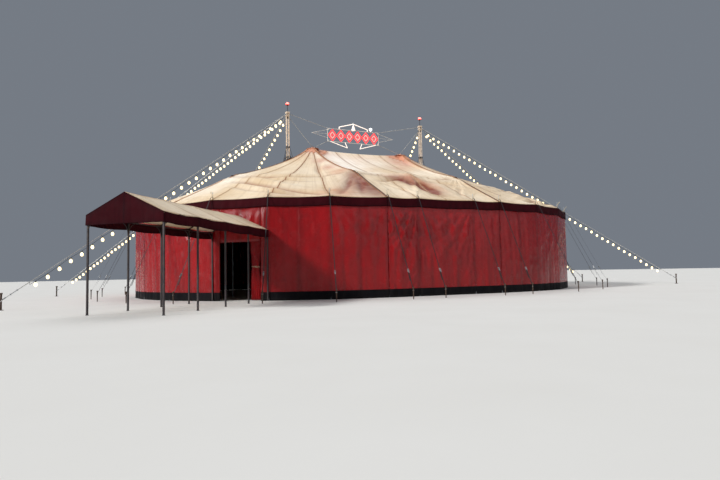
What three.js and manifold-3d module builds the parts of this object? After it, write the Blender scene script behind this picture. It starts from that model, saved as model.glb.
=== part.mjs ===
// Two-mast circus tent with an entrance canopy. Millimetres, +Z up.
// While it is built, the middle of the ring is the origin, +X runs along the line of the masts
// and -Y is the entrance side. At the end the whole tent moves so that the middle of its base
// is the origin.
import * as THREE from "three";
import { mergeVertices } from "three/addons/utils/BufferGeometryUtils.js";
import Module from "manifold-3d";

const wasm = await Module();
wasm.setup();

// Driving dimensions of the main tent
const EAVE_R = 9600;
const EAVE_Z = 4200;
const PEAK_X = 2900;
const PEAK_Z = 8350;
const PEAK_HOLE_R = 320;
const QUARTER_R = 6050;
const QUARTER_Z = 5950;
const SLOPE_R = 7800;
const SLOPE_Z = 5080;
const EDGE_R = 9470;
const PEAK_SAG = 260;
const MIDDLE_SAG = [180, 90];
const RIDGE_SAG = 90;
// How far the cloth of a round end falls on each 15 degree line from the entrance side to the side,
// at the ring of quarter poles and half way from there to the eave. The back mirrors it.
const END_SAG = [
  [0, 0],
  [420, 330],
  [300, 120],
  [160, 50],
  [0, 0],
  [240, 100],
  [320, 140],
];
const QUARTER_TURNS = [0, 60, 120, 180];
const ROOF_T = 20;
const VALANCE = 380;
const FACET = 15;
const LACE_GAP = 0.4;
const SEAT = 0.3;

// Driving dimensions of walls and poles
const WALL_R = EAVE_R - 32;
const WALL_T = 12;
const WALL_TOP = EAVE_Z - 60;
const POLE_R = EAVE_R - 73.6;
const POLE_TUBE = 30;
const PIN_TUBE = 10;
const PIN_TOP = EAVE_Z + 320;
const RAIL_Z = 4060;
const RAIL_TUBE = 14;
const STRAP_OUT = 2050;
const STAKE_TUBE = 24;
const DOOR_POLE_X = 1450;
const DOOR_BAY = 30;
const DOOR_W = 1800;
const DOOR_H = 2400;

// The edge band falls evenly all round, so every side pole meets the roof at one height.
const EDGE_FALL = (SLOPE_Z - EAVE_Z) / (EAVE_R - SLOPE_R);
const POLE_CORNER = POLE_TUBE * (Math.cos(Math.PI / 8) + Math.sin(Math.PI / 8) * Math.tan(Math.PI / 24));
const POLE_TOP = EAVE_Z - ROOF_T + EDGE_FALL * (EAVE_R - POLE_R - POLE_CORNER) - SEAT;

// Driving dimensions of masts and guys
const MAST_X = 4400;
const MAST_TOP = 10400;
const MAST_HALF = 70;
const MAST_CHORD = 18;
const MAST_BAYS = 7;
const LUG_Z = 10330;
const LUG_REACH = 190;
const LUG_TUBE = 16;
const HOIST_Z = 10190;
const GUY_LOW = 330;
const STAY_Z = PEAK_Z + 60;
const STAY_REACH = 110;
const EYE = 24;
const SOCKET = 150;
const ANCHOR_TUBE = 34;
const LEFT_GUYS = [
  ["front", 16900, -7500],
  ["side", 16650, 7000],
  ["back", 7800, 17000],
];
const RIGHT_GUYS = [
  ["front", 18000, -7200],
  ["side", 19600, 1700],
  ["back", 7800, 17000],
];

// Driving dimensions of the sign frame
const SIGN_X = -270;
const SIGN_HALF = 1680;
const SIGN_LOW = 8900;
const SIGN_HIGH = 9680;

// Driving dimensions of the entrance canopy
const AWN_W = 2530;
const AWN_EAVE = 2860;
const AWN_RIDGE = 3470;
const AWN_START = 0.4;
const AWN_END = 7140;
const AWN_BAYS = 4;
const AWN_T = 12;
const AWN_VALANCE = 300;
const AWN_POST = 25;

const LOOKS = {
  cream: { color: "#dccba8", roughness: 0.55, metalness: 0 },
  red: { color: "#a3171b", roughness: 0.4, metalness: 0 },
  maroon: { color: "#5a1420", roughness: 0.8, metalness: 0 },
  mast: { color: "#c9c4b6", roughness: 0.5, metalness: 0.4 },
  steel: { color: "#8d9094", roughness: 0.45, metalness: 0.9 },
  cable: { color: "#a8abae", roughness: 0.4, metalness: 0.9 },
  white: { color: "#e9e6df", roughness: 0.4, metalness: 0.2 },
  lamp: { color: "#e0221c", roughness: 0.25, metalness: 0 },
  neon: { color: "#ff4038", roughness: 0.3, metalness: 0 },
};

const root = new THREE.Group();
root.name = "circus_big_top_tent";

const rad = THREE.MathUtils.degToRad;
const V = (x, y, z) => new THREE.Vector3(x, y, z);

// Adds one named piece.
function addPiece(name, geometry, look) {
  geometry.computeVertexNormals();
  const mesh = new THREE.Mesh(geometry, new THREE.MeshStandardMaterial(LOOKS[look]));
  mesh.name = name;
  root.add(mesh);
}

function toManifold(geometry) {
  const bare = geometry.clone();
  bare.deleteAttribute("uv");
  bare.deleteAttribute("normal");
  const merged = mergeVertices(bare, 1e-4);
  return new wasm.Manifold(
    new wasm.Mesh({
      numProp: 3,
      vertProperties: new Float32Array(merged.attributes.position.array),
      triVerts: new Uint32Array(merged.index.array),
    }),
  );
}

function fromManifold(solid) {
  const mesh = solid.getMesh();
  const geometry = new THREE.BufferGeometry();
  geometry.setAttribute("position", new THREE.BufferAttribute(new Float32Array(mesh.vertProperties), 3));
  geometry.setIndex(new THREE.BufferAttribute(new Uint32Array(mesh.triVerts), 1));
  return geometry;
}

// Joins several closed shapes into one solid.
function join(shapes) {
  return fromManifold(shapes.map(toManifold).reduce((sum, solid) => sum.add(solid)));
}

// Cuts closed shapes out of a solid.
function cut(shape, tools) {
  const removed = tools.map(toManifold);
  return fromManifold(removed.reduce((rest, solid) => rest.subtract(solid), toManifold(shape)));
}

// A straight bar between two points.
function bar(from, to, radius, sides = 6) {
  const along = to.clone().sub(from);
  const geometry = new THREE.CylinderGeometry(radius, radius, along.length(), sides, 1);
  geometry.applyQuaternion(new THREE.Quaternion().setFromUnitVectors(V(0, 1, 0), along.normalize()));
  geometry.translate((from.x + to.x) / 2, (from.y + to.y) / 2, (from.z + to.z) / 2);
  return geometry;
}

function bars(points, radius, sides = 6) {
  return points.slice(1).map((point, i) => bar(points[i], point, radius, sides));
}

// An upright bar from the ground, with one flat side facing straight out.
function post(at, radius, height, out, sides) {
  const geometry = new THREE.CylinderGeometry(radius, radius, height, sides, 1);
  geometry.rotateX(Math.PI / 2);
  geometry.rotateZ(Math.atan2(out.y, out.x) + Math.PI / 2 + Math.PI / sides);
  geometry.translate(at.x, at.y, height / 2);
  return geometry;
}

// A rectangular beam between two points, with its height in the upright plane.
function beam(from, to, width, height) {
  const along = to.clone().sub(from);
  const geometry = new THREE.BoxGeometry(along.length(), width, height);
  along.normalize();
  const side = V(0, 0, 1).cross(along).normalize();
  geometry.applyMatrix4(new THREE.Matrix4().makeBasis(along, side, along.clone().cross(side)));
  geometry.translate((from.x + to.x) / 2, (from.y + to.y) / 2, (from.z + to.z) / 2);
  return geometry;
}

function box(low, high) {
  const geometry = new THREE.BoxGeometry(high.x - low.x, high.y - low.y, high.z - low.z);
  geometry.translate((low.x + high.x) / 2, (low.y + high.y) / 2, (low.z + high.z) / 2);
  return geometry;
}

// A rope with a thicker socket at its first end.
function rope(from, to, radius) {
  const length = from.distanceTo(to);
  const tail = length - SOCKET;
  const socket = [[0, 0], [EYE, 0], [EYE, SOCKET], [radius, SOCKET]];
  const line = [...socket, [radius, tail], [radius, length], [0, length]];
  const geometry = new THREE.LatheGeometry(line.map(([r, along]) => new THREE.Vector2(r, along)), 6);
  const direction = to.clone().sub(from).normalize();
  geometry.applyQuaternion(new THREE.Quaternion().setFromUnitVectors(V(0, 1, 0), direction));
  geometry.translate(from.x, from.y, from.z);
  return geometry;
}

// A closed sheet with thickness. outer and inner are rows of points of equal length.
function sheet(outer, inner) {
  const rows = outer.length;
  const cols = outer[0].length;
  const points = [...outer.flat(), ...inner.flat()];
  const faces = [];
  const quad = (a, b, c, d) => faces.push(a, b, c, a, c, d);
  const at = (side, row, col) => side * rows * cols + row * cols + col;
  for (let j = 0; j < rows - 1; j++) {
    for (let i = 0; i < cols - 1; i++) {
      quad(at(0, j, i), at(0, j, i + 1), at(0, j + 1, i + 1), at(0, j + 1, i));
      quad(at(1, j, i), at(1, j + 1, i), at(1, j + 1, i + 1), at(1, j, i + 1));
    }
    quad(at(0, j, 0), at(0, j + 1, 0), at(1, j + 1, 0), at(1, j, 0));
    quad(at(0, j, cols - 1), at(1, j, cols - 1), at(1, j + 1, cols - 1), at(0, j + 1, cols - 1));
  }
  for (let i = 0; i < cols - 1; i++) {
    quad(at(0, 0, i), at(1, 0, i), at(1, 0, i + 1), at(0, 0, i + 1));
    quad(at(0, rows - 1, i), at(0, rows - 1, i + 1), at(1, rows - 1, i + 1), at(1, rows - 1, i));
  }
  let volume = 0;
  for (let f = 0; f < faces.length; f += 3) {
    const [a, b, c] = [points[faces[f]], points[faces[f + 1]], points[faces[f + 2]]];
    volume += a.dot(b.clone().cross(c));
  }
  if (volume < 0) {
    faces.reverse();
  }
  const geometry = new THREE.BufferGeometry();
  geometry.setAttribute("position", new THREE.Float32BufferAttribute(points.flatMap((p) => p.toArray()), 3));
  geometry.setIndex(faces);
  return geometry;
}

// The point at a radius and height around one end. side is -1 for the left end and 1 for the right.
// The angle starts at the entrance side (0) and ends at the back (180).
function around(side, angle, radius, z) {
  return V(side * (PEAK_X + radius * Math.sin(rad(angle))), -radius * Math.cos(rad(angle)), z);
}

// Height of the upper roof between a top edge and the quarter poles. It hangs lowest near the top.
function upperHeight(radius, start, top, low) {
  const t = (radius - start) / (QUARTER_R - start);
  const bow = Math.pow(t, 0.75);
  return top + (low - top) * t - PEAK_SAG * 4 * bow * (1 - bow);
}

// How far the cloth of a round end falls on one of its lines, at the quarter poles and on the slope.
function endSag(angle) {
  const line = angle / FACET;
  return END_SAG[Math.min(line, 180 / FACET - line)];
}

// One roof profile, from the top edge to the bottom of the valance, as [radius, outside z, inside z].
function profile(start, top, [quarterSag, slopeSag]) {
  const quarter = QUARTER_Z - quarterSag;
  const slope = SLOPE_Z - slopeSag;
  const upper = [start, 1300, 2700, 4300].map((r) => [r, upperHeight(r, start, top, quarter)]);
  const lower = [[QUARTER_R, quarter], [SLOPE_R, slope], [EDGE_R, EAVE_Z + EDGE_FALL * (EAVE_R - EDGE_R)]];
  return [
    ...[...upper, ...lower].map(([r, z]) => [r, r, z, z - ROOF_T]),
    [EAVE_R, EAVE_R - ROOF_T, EAVE_Z, EAVE_Z - ROOF_T * (1 - EDGE_FALL)],
    [EAVE_R, EAVE_R - ROOF_T, EAVE_Z - VALANCE, EAVE_Z - VALANCE],
  ];
}

// A pole place on the plan: its point and the direction straight out of the tent.
function polePlace(side, angle) {
  return {
    at: around(side, angle, POLE_R, 0),
    out: V(side * Math.sin(rad(angle)), -Math.cos(rad(angle)), 0),
  };
}

function straightPlace(x, face) {
  return { at: V(x, face * (POLE_R + 1.5), 0), out: V(0, face, 0) };
}

function eyelet(place) {
  const top = place.at.clone().setZ(EAVE_Z + 300);
  return bar(place.at.clone().setZ(EAVE_Z - 60), top, 16, 8);
}

// Roof over one round end, with the mast hole and the eyelets for the pole pins.
function roofEnd(side) {
  const outer = [];
  const inner = [];
  for (let angle = 0; angle <= 180; angle += FACET) {
    const line = profile(PEAK_HOLE_R, PEAK_Z, endSag(angle));
    const shift = angle === 0 || angle === 180 ? V(side * LACE_GAP, 0, 0) : V(0, 0, 0);
    outer.push(line.map(([r, , z]) => around(side, angle, r, z).add(shift)));
    inner.push(line.map(([, r, , z]) => around(side, angle, r, z).add(shift)));
  }
  const tools = [bar(V(side * MAST_X, 0, 6700), V(side * MAST_X, 0, 9200), 240, 16)];
  for (let angle = 0; angle <= 180; angle += FACET) {
    tools.push(eyelet(polePlace(side, angle)));
  }
  return cut(sheet(outer, inner), tools);
}

// Roof of the straight middle on one side. face is -1 for the entrance side and 1 for the back.
function roofMiddle(face) {
  const half = [
    [PEAK_X, 0, [0, 0], PEAK_HOLE_R],
    [PEAK_X - PEAK_HOLE_R, 12, [60, 30], LACE_GAP],
    [DOOR_POLE_X, RIDGE_SAG * 0.75, MIDDLE_SAG, LACE_GAP],
  ];
  const mirrored = half.map(([x, ...rest]) => [-x, ...rest]).reverse();
  const sections = [...half, [0, RIDGE_SAG, [0, 0], LACE_GAP], ...mirrored];
  const outer = [];
  const inner = [];
  for (const [x, drop, sag, start] of sections) {
    const line = profile(start, PEAK_Z - drop, sag);
    outer.push(line.map(([r, , z]) => V(x, face * r, z)));
    inner.push(line.map(([, r, , z]) => V(x, face * r, z)));
  }
  const places = [-1, 1].flatMap((s) => [
    polePlace(s, face < 0 ? 0 : 180),
    straightPlace(s * DOOR_POLE_X, face),
  ]);
  return cut(sheet(outer, inner), places.map(eyelet));
}

const guysOf = (side) => (side < 0 ? LEFT_GUYS : RIGHT_GUYS);
const mastPoint = (side, z) => V(side * MAST_X, 0, z);
const signCorner = (side, z) => V(SIGN_X + side * (SIGN_HALF - 4), 0, z + 2);

// Four-chord lattice mast with a foot plate, head lugs and the four tie rods above the roof.
function mast(side) {
  const shapes = [];
  const step = (MAST_TOP - 60) / MAST_BAYS;
  const corner = (k, z) => {
    const turn = rad(45 + 90 * k);
    const off = MAST_HALF * Math.SQRT2;
    return V(side * MAST_X + off * Math.cos(turn), off * Math.sin(turn), z);
  };
  for (let k = 0; k < 4; k++) {
    shapes.push(bar(corner(k, 10), corner(k, MAST_TOP - 10), MAST_CHORD, 6));
    for (let n = 0; n < MAST_BAYS; n++) {
      const low = 30 + n * step;
      const flip = n % 2;
      const inset = 45 + 14 * (k % 2);
      shapes.push(bar(corner(k + flip, low + inset), corner(k + 1 - flip, low + step - inset), 10, 4));
    }
  }
  shapes.push(box(V(side * MAST_X - 300, -300, 0), V(side * MAST_X + 300, 300, 25)));
  shapes.push(box(V(side * MAST_X - 115, -115, MAST_TOP - 40), V(side * MAST_X + 115, 115, MAST_TOP)));
  for (const z of [LUG_Z, HOIST_Z]) {
    shapes.push(box(V(side * MAST_X - 100, -100, z - 30), V(side * MAST_X + 100, 100, z + 30)));
  }
  for (const [, x, y] of guysOf(side)) {
    shapes.push(lug(mastPoint(side, LUG_Z), V(side * x, y, GUY_LOW)));
  }
  shapes.push(lug(mastPoint(side, LUG_Z), signCorner(side, SIGN_HIGH)));
  shapes.push(lug(mastPoint(side, HOIST_Z), V(side * PEAK_X, 0, PEAK_Z + 75)));
  for (let k = 0; k < 4; k++) {
    const foot = corner(k, 0).sub(V(side * MAST_X, 0, 0)).multiplyScalar(3.1);
    const low = foot.x * side > 0 ? 7500 : 7725;
    shapes.push(bar(corner(k, PEAK_Z), V(side * MAST_X + foot.x, foot.y, low), 12, 5));
  }
  return join(shapes);
}


// A lug on the mast, pointing along the rope it holds.
function lug(from, to, length = LUG_REACH) {
  return bar(from, from.clone().addScaledVector(to.clone().sub(from).normalize(), length), LUG_TUBE, 6);
}

// A rope that starts just past the end of its lug.
function lugRope(from, to, radius, length = LUG_REACH) {
  const along = to.clone().sub(from).normalize();
  return rope(from.clone().addScaledVector(along, length + SEAT), to, radius);
}

// A guy from the mast head to a ground anchor.
function mastGuy(side, x, y) {
  const out = V(side * (x - MAST_X), y, 0).normalize();
  const anchor = V(side * x, y, 0);
  const guy = lugRope(mastPoint(side, LUG_Z), anchor.clone().setZ(GUY_LOW), 11);
  return join([guy, post(anchor, ANCHOR_TUBE, 600, out, 6)]);
}

// Plate over the top of a peak and the cable that lifts it.
function peakHoist(side) {
  const top = V(side * PEAK_X, 0, PEAK_Z + SEAT);
  return join([
    bar(top, top.clone().setZ(PEAK_Z + 16), 430, 16),
    bar(top.clone().setZ(PEAK_Z + 8), top.clone().setZ(PEAK_Z + 110), 22, 6),
    lugRope(mastPoint(side, HOIST_Z), top.clone().setZ(PEAK_Z + 75), 11),
    lug(top.clone().setZ(STAY_Z), signCorner(side, SIGN_LOW), STAY_REACH),
  ]);
}

// A side pole with its pin, and the strap over the eave to a stake.
function sidePole(place, splay) {
  const base = place.at;
  const out = place.out.clone().applyAxisAngle(V(0, 0, 1), rad(splay));
  const reach = (distance, z) => base.clone().addScaledVector(out, distance).setZ(z);
  return [
    post(base, POLE_TUBE, POLE_TOP, place.out, 8),
    bar(base.clone().setZ(EAVE_Z - 30), base.clone().setZ(PIN_TOP), PIN_TUBE, 6),
    ...bars([base.clone().setZ(EAVE_Z + 128), reach(122, EAVE_Z + 70), reach(STRAP_OUT, 330)], 10, 4),
    post(reach(STRAP_OUT, 0), STAKE_TUBE, 480, out, 6),
  ];
}

// Several side poles joined by the wall rail. The rail stops just before the next group's pole.
function poleGroup(places, next, splays) {
  const shapes = places.flatMap((place, i) => sidePole(place, splays[i] ?? 0));
  const rail = places.map((place) => place.at.clone().setZ(RAIL_Z));
  const end = next.at.clone().setZ(RAIL_Z);
  const back = rail[rail.length - 1].clone().sub(end).normalize();
  rail.push(end.addScaledVector(back, POLE_TUBE + SEAT));
  return join([...shapes, ...bars(rail, RAIL_TUBE, 6)]);
}

// Wall along a list of plan points [outside point, inside point].
function wall(plan, low, high) {
  const outer = plan.map(([out]) => [out.clone().setZ(high), out.clone().setZ(low)]);
  const inner = plan.map(([, into]) => [into.clone().setZ(high), into.clone().setZ(low)]);
  return sheet(outer, inner);
}

function wallCorner(side, angle) {
  return [around(side, angle, WALL_R, 0), around(side, angle, WALL_R - WALL_T, 0)];
}

// A wall point between two corners, at a distance from the first.
function wallBetween(from, to, distance) {
  const along = to[0].clone().sub(from[0]).normalize();
  return from.map((point) => point.clone().addScaledVector(along, distance));
}

function wallRun(side, start, end) {
  const corners = [];
  for (let angle = start; angle <= end; angle += FACET) {
    corners.push(wallCorner(side, angle));
  }
  return corners;
}

// Pulls both ends of a wall back a little, so neighbouring walls stay apart.
function clearEnds(plan, atStart = true, atEnd = true) {
  const n = plan.length;
  const result = [...plan];
  if (atStart) {
    result[0] = wallBetween(plan[0], plan[1], LACE_GAP / 2);
  }
  if (atEnd) {
    result[n - 1] = wallBetween(plan[n - 1], plan[n - 2], LACE_GAP / 2);
  }
  return result;
}

// Quarter poles joined by the webbing that keeps their heads apart.
function quarterGroup(places) {
  const shapes = [];
  for (const place of places) {
    shapes.push(bar(place.clone().setZ(0), place.clone().setZ(12), 150, 8));
    shapes.push(bar(place.clone().setZ(0), place.clone().setZ(QUARTER_Z - 120), 44, 8));
    shapes.push(bar(place.clone().setZ(QUARTER_Z - 140), place.clone().setZ(QUARTER_Z - 26.7), 12, 6));
  }
  shapes.push(...bars(places.map((place) => place.clone().setZ(QUARTER_Z - 330)), 12, 4));
  return join(shapes);
}

// Places a shape drawn in the canopy's own frame: +X away from the wall, +Y sideways.
function toEntrance(geometry) {
  const angle = DOOR_BAY + FACET / 2;
  const start = WALL_R * Math.cos(rad(FACET / 2));
  geometry.rotateZ(rad(-90 - angle));
  const base = around(-1, angle, start, 0);
  geometry.translate(base.x, base.y, 0);
  return geometry;
}

// Roof and both ends, front and back
addPiece("roof_left_end", roofEnd(-1), "cream");
addPiece("roof_right_end", roofEnd(1), "cream");
addPiece("roof_middle_front", roofMiddle(-1), "cream");
addPiece("roof_middle_back", roofMiddle(1), "cream");

// Masts, warning lamps, guys and peak hoists
for (const [side, word] of [[-1, "left"], [1, "right"]]) {
  addPiece(`mast_${word}`, mast(side), "mast");
  const lampFoot = V(side * MAST_X, 0, MAST_TOP + 0.5);
  const lamp = new THREE.LatheGeometry(
    [[0, 400], [75, 400], [75, 510], [52, 560], [0, 580]].map(([r, z]) => new THREE.Vector2(r, z)),
    12,
  );
  lamp.rotateX(Math.PI / 2);
  lamp.translate(lampFoot.x, lampFoot.y, lampFoot.z);
  const stem = bar(lampFoot, lampFoot.clone().setZ(MAST_TOP + 430), 16, 6);
  const lampPlate = bar(lampFoot, lampFoot.clone().setZ(MAST_TOP + 12), 60, 8);
  addPiece(`beacon_${word}`, join([lamp, stem, lampPlate]), "lamp");
  for (const [where, x, y] of guysOf(side)) {
    addPiece(`mast_guy_${word}_${where}`, mastGuy(side, x, y), "cable");
  }
  addPiece(`peak_hoist_${word}`, peakHoist(side), "cable");
}

// Sign frame hung between the masts, with its cables and stays
const sign = (x, z) => V(SIGN_X + x, 0, z);
const crown = [[-930, SIGN_HIGH], [-930, 9820], [0, 10080], [930, 9820], [930, SIGN_HIGH]];
const signShapes = [
  ...[SIGN_LOW, SIGN_HIGH].map((z) => bar(sign(-SIGN_HALF - 16, z), sign(SIGN_HALF + 16, z), 16, 6)),
  ...[-SIGN_HALF, SIGN_HALF].map((x) => bar(sign(x, SIGN_LOW - 5), sign(x, SIGN_HIGH + 5), 16, 6)),
  ...bars(crown.map(([x, z]) => sign(x, z)), 16, 6),
  bar(sign(0, SIGN_HIGH), sign(0, 10080), 14, 6),
];
for (const s of [-1, 1]) {
  const brace = [[1500, SIGN_LOW], [410, 8580], [560, SIGN_LOW]];
  const wing = [[SIGN_HALF, 9600], [2680, 9340], [SIGN_HALF, 9100]];
  signShapes.push(...bars(brace.map(([x, z]) => sign(s * x, z)), 12, 5));
  signShapes.push(...bars(wing.map(([x, z]) => sign(s * x, z)), 9, 5));
  signShapes.push(lugRope(mastPoint(s, LUG_Z), signCorner(s, SIGN_HIGH), 9));
  signShapes.push(lugRope(V(s * PEAK_X, 0, STAY_Z), signCorner(s, SIGN_LOW), 9, STAY_REACH));
}
addPiece("sign_frame", join(signShapes), "white");

// Diamond lattice of lit tubes inside the sign frame
const TUBE = 14;
const DIAMONDS = 6;
const reach = SIGN_HALF - 16 - TUBE - 6;
const rise = (SIGN_HIGH - SIGN_LOW) / 2 - 16 - TUBE - 6;
const middle = (SIGN_LOW + SIGN_HIGH) / 2;
const zigzag = (phase) =>
  Array.from({ length: DIAMONDS * 2 + 1 }, (_, i) =>
    sign(-reach + (i * reach) / DIAMONDS, middle + phase * rise * (i % 2 ? 1 : -1)),
  );
const clip = (x, z, end) => bar(V(x, 0, z), V(x, 0, end), 7, 6);
const clips = zigzag(1)
  .filter((_, i) => i % 4 === 1)
  .flatMap(({ x }) => [
    clip(x, middle + rise, SIGN_HIGH - 16 - SEAT),
    clip(x, middle - rise, SIGN_LOW + 16 + SEAT),
  ]);
addPiece("sign_tubes", join([...bars(zigzag(1), TUBE, 4), ...bars(zigzag(-1), TUBE, 4), ...clips]), "neon");

const lampSeat = sign(1110, SIGN_HIGH + 16 + SEAT);
addPiece(
  "sign_spotlight",
  join([
    bar(lampSeat, lampSeat.clone().setZ(SIGN_HIGH + 110), 12, 6),
    bar(lampSeat.clone().add(V(0, -110, 110)), lampSeat.clone().add(V(0, 60, 150)), 62, 10),
  ]),
  "white",
);

// Side poles with straps and the wall rail
const ring = (side, angles) => angles.map((angle) => polePlace(side, angle));
const pair = (face) => [face, -face].map((s) => straightPlace(-s * DOOR_POLE_X, face));
const [nearBack, farBack] = pair(1);
const [nearFront, farFront] = pair(-1);
for (const [where, places, next, splays] of [
  ["left_front", ring(-1, [0, 15, 30]), polePlace(-1, 45), { 2: 9 }],
  ["left_side", ring(-1, [45, 60, 75, 90]), polePlace(-1, 105), { 0: -9 }],
  ["left_back", ring(-1, [105, 120, 135, 150, 165, 180]), nearBack, {}],
  ["middle_back", [nearBack, farBack], polePlace(1, 180), {}],
  ["right_back", ring(1, [180, 165, 150, 135, 120]), polePlace(1, 105), {}],
  ["right_side", ring(1, [105, 90, 75, 60]), polePlace(1, 45), {}],
  ["right_front", ring(1, [45, 30, 15, 0]), nearFront, {}],
  ["middle_front", [nearFront, farFront], polePlace(-1, 0), {}],
]) {
  addPiece(`poles_${where}`, poleGroup(places, next, splays), "steel");
}

// Walls, with the doorway in one bay of the left end
const doorFrom = wallCorner(-1, DOOR_BAY);
const doorTo = wallCorner(-1, DOOR_BAY + FACET);
const doorChord = doorFrom[0].distanceTo(doorTo[0]);
const doorEdge = (doorChord - DOOR_W) / 2;
const doorStart = wallBetween(doorFrom, doorTo, doorEdge);
const doorEnd = wallBetween(doorTo, doorFrom, doorEdge);
const middleRun = (angle) => [wallCorner(-1, angle), wallCorner(1, angle)];
for (const [where, plan, low] of [
  ["left_front", clearEnds([...wallRun(-1, 0, DOOR_BAY), doorStart], true, false), 0],
  ["over_doorway", clearEnds([doorStart, doorEnd]), DOOR_H],
  ["left_side", clearEnds([doorEnd, ...wallRun(-1, 45, 75)], false, true), 0],
  ["left_end", clearEnds(wallRun(-1, 75, 120)), 0],
  ["left_back", clearEnds(wallRun(-1, 120, 180)), 0],
  ["right_front", clearEnds(wallRun(1, 0, 60)), 0],
  ["right_side", clearEnds(wallRun(1, 60, 120)), 0],
  ["right_back", clearEnds(wallRun(1, 120, 180)), 0],
  ["middle_front", clearEnds(middleRun(0)), 0],
  ["middle_back", clearEnds(middleRun(180)), 0],
]) {
  addPiece(`wall_${where}`, wall(plan, low, WALL_TOP), "red");
}

// Quarter poles
const quarters = (side) => QUARTER_TURNS.map((angle) => around(side, angle, QUARTER_R, 0));
addPiece("quarter_poles_left", quarterGroup([V(0, -QUARTER_R, 0), ...quarters(-1)]), "steel");
addPiece("quarter_poles_right", quarterGroup([...quarters(1), V(0, QUARTER_R, 0)]), "steel");

// Entrance canopy: frames, roof and front gable
const half = AWN_W / 2;
const slopeLength = Math.hypot(half, AWN_RIDGE - AWN_EAVE);
const lift = (AWN_T * slopeLength) / half;
const awningLine = (drop, inset) => [
  [half - inset, AWN_EAVE - AWN_VALANCE],
  [half - inset, AWN_EAVE - drop],
  [0, AWN_RIDGE - lift * (inset > 0)],
  [-half + inset, AWN_EAVE - drop],
  [-half + inset, AWN_EAVE - AWN_VALANCE],
];
const awningRows = (line) => [AWN_START, AWN_END].map((x) => line.map(([y, z]) => V(x, y, z)));
const awning = sheet(awningRows(awningLine(0, 0)), awningRows(awningLine(6, AWN_T)));
addPiece("awning_roof", toEntrance(awning), "cream");

const gable = new THREE.Shape(
  [
    [-half, AWN_EAVE - AWN_VALANCE],
    [half, AWN_EAVE - AWN_VALANCE],
    [half, AWN_EAVE],
    [0, AWN_RIDGE],
    [-half, AWN_EAVE],
  ].map(([y, z]) => new THREE.Vector2(y, z)),
);
const gableSheet = new THREE.ExtrudeGeometry(gable, { depth: AWN_T, bevelEnabled: false });
gableSheet.rotateX(Math.PI / 2);
gableSheet.rotateZ(Math.PI / 2);
gableSheet.translate(AWN_END + 0.5, 0, 0);
addPiece("awning_gable", toEntrance(gableSheet), "maroon");

const frameX = Array.from({ length: AWN_BAYS + 1 }, (_, i) => {
  const first = AWN_START + 40;
  return first + (i * (AWN_END - 40 - first)) / AWN_BAYS;
});
const postY = half - AWN_T - AWN_POST - 1;
const railZ = AWN_EAVE - 40;
for (const [s, word] of [[1, "left"], [-1, "right"]]) {
  const shapes = frameX.map((x) =>
    box(V(x - AWN_POST, s * postY - AWN_POST, 0), V(x + AWN_POST, s * postY + AWN_POST, railZ)),
  );
  shapes.push(box(V(frameX[0], s * postY - 20, railZ - 45), V(frameX[AWN_BAYS], s * postY + 20, railZ - 5)));
  addPiece(`awning_frame_${word}`, toEntrance(join(shapes)), "steel");
}

const RAFTER = 36;
const rafterSlope = (AWN_RIDGE - lift - AWN_EAVE + 6) / (half - AWN_T);
const rafterDrop = (RAFTER / 2 + SEAT) * Math.hypot(1, rafterSlope);
const rafterTop = AWN_RIDGE - lift - rafterDrop;
const rafters = frameX.flatMap((x) =>
  [-1, 1].map((s) => beam(V(x, s * postY, rafterTop - rafterSlope * postY), V(x, 0, rafterTop), 30, RAFTER)),
);
const ridge = beam(V(AWN_START + 10, 0, rafterTop - 15), V(AWN_END - 10, 0, rafterTop - 15), 40, 50);
addPiece("awning_rafters", toEntrance(join([...rafters, ridge])), "steel");

// Gathered curtain hanging from the wall rail at one side of the doorway
const pleats = 9;
const curtainLine = (offset) =>
  Array.from({ length: pleats * 2 + 1 }, (_, i) => {
    const fold = i % 2 ? 15 : -15;
    return [offset + fold, 460 + (i * 420) / (pleats * 2)];
  });
const curtainMid = (POLE_R - WALL_R) * Math.cos(rad(FACET / 2));
const curtainTop = RAIL_Z - RAIL_TUBE - SEAT;
const curtainRows = (line) => line.map(([x, y]) => [curtainTop, 30].map((z) => V(curtainMid + x, y, z)));
const curtain = sheet(curtainRows(curtainLine(4)), curtainRows(curtainLine(-4)));
addPiece("door_curtain", toEntrance(curtain), "red");

// Moves the middle of the base to the origin.
const bounds = new THREE.Box3().setFromObject(root);
const shift = V(-(bounds.min.x + bounds.max.x) / 2, -(bounds.min.y + bounds.max.y) / 2, -bounds.min.z);
for (const mesh of root.children) {
  mesh.geometry.translate(shift.x, shift.y, shift.z);
}

export default root;
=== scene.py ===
# Two-mast circus tent with an entrance canopy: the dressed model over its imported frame.
# Metres, +Z up. Pieces are drawn with the middle of the ring at x 0, y 0 and moved by SHIFT at the end.
from math import atan2, cos, dist, hypot, pi, radians, sin, sqrt, tau

import bmesh
import bpy
import numpy as np
from mathutils import Matrix, Vector


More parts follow.
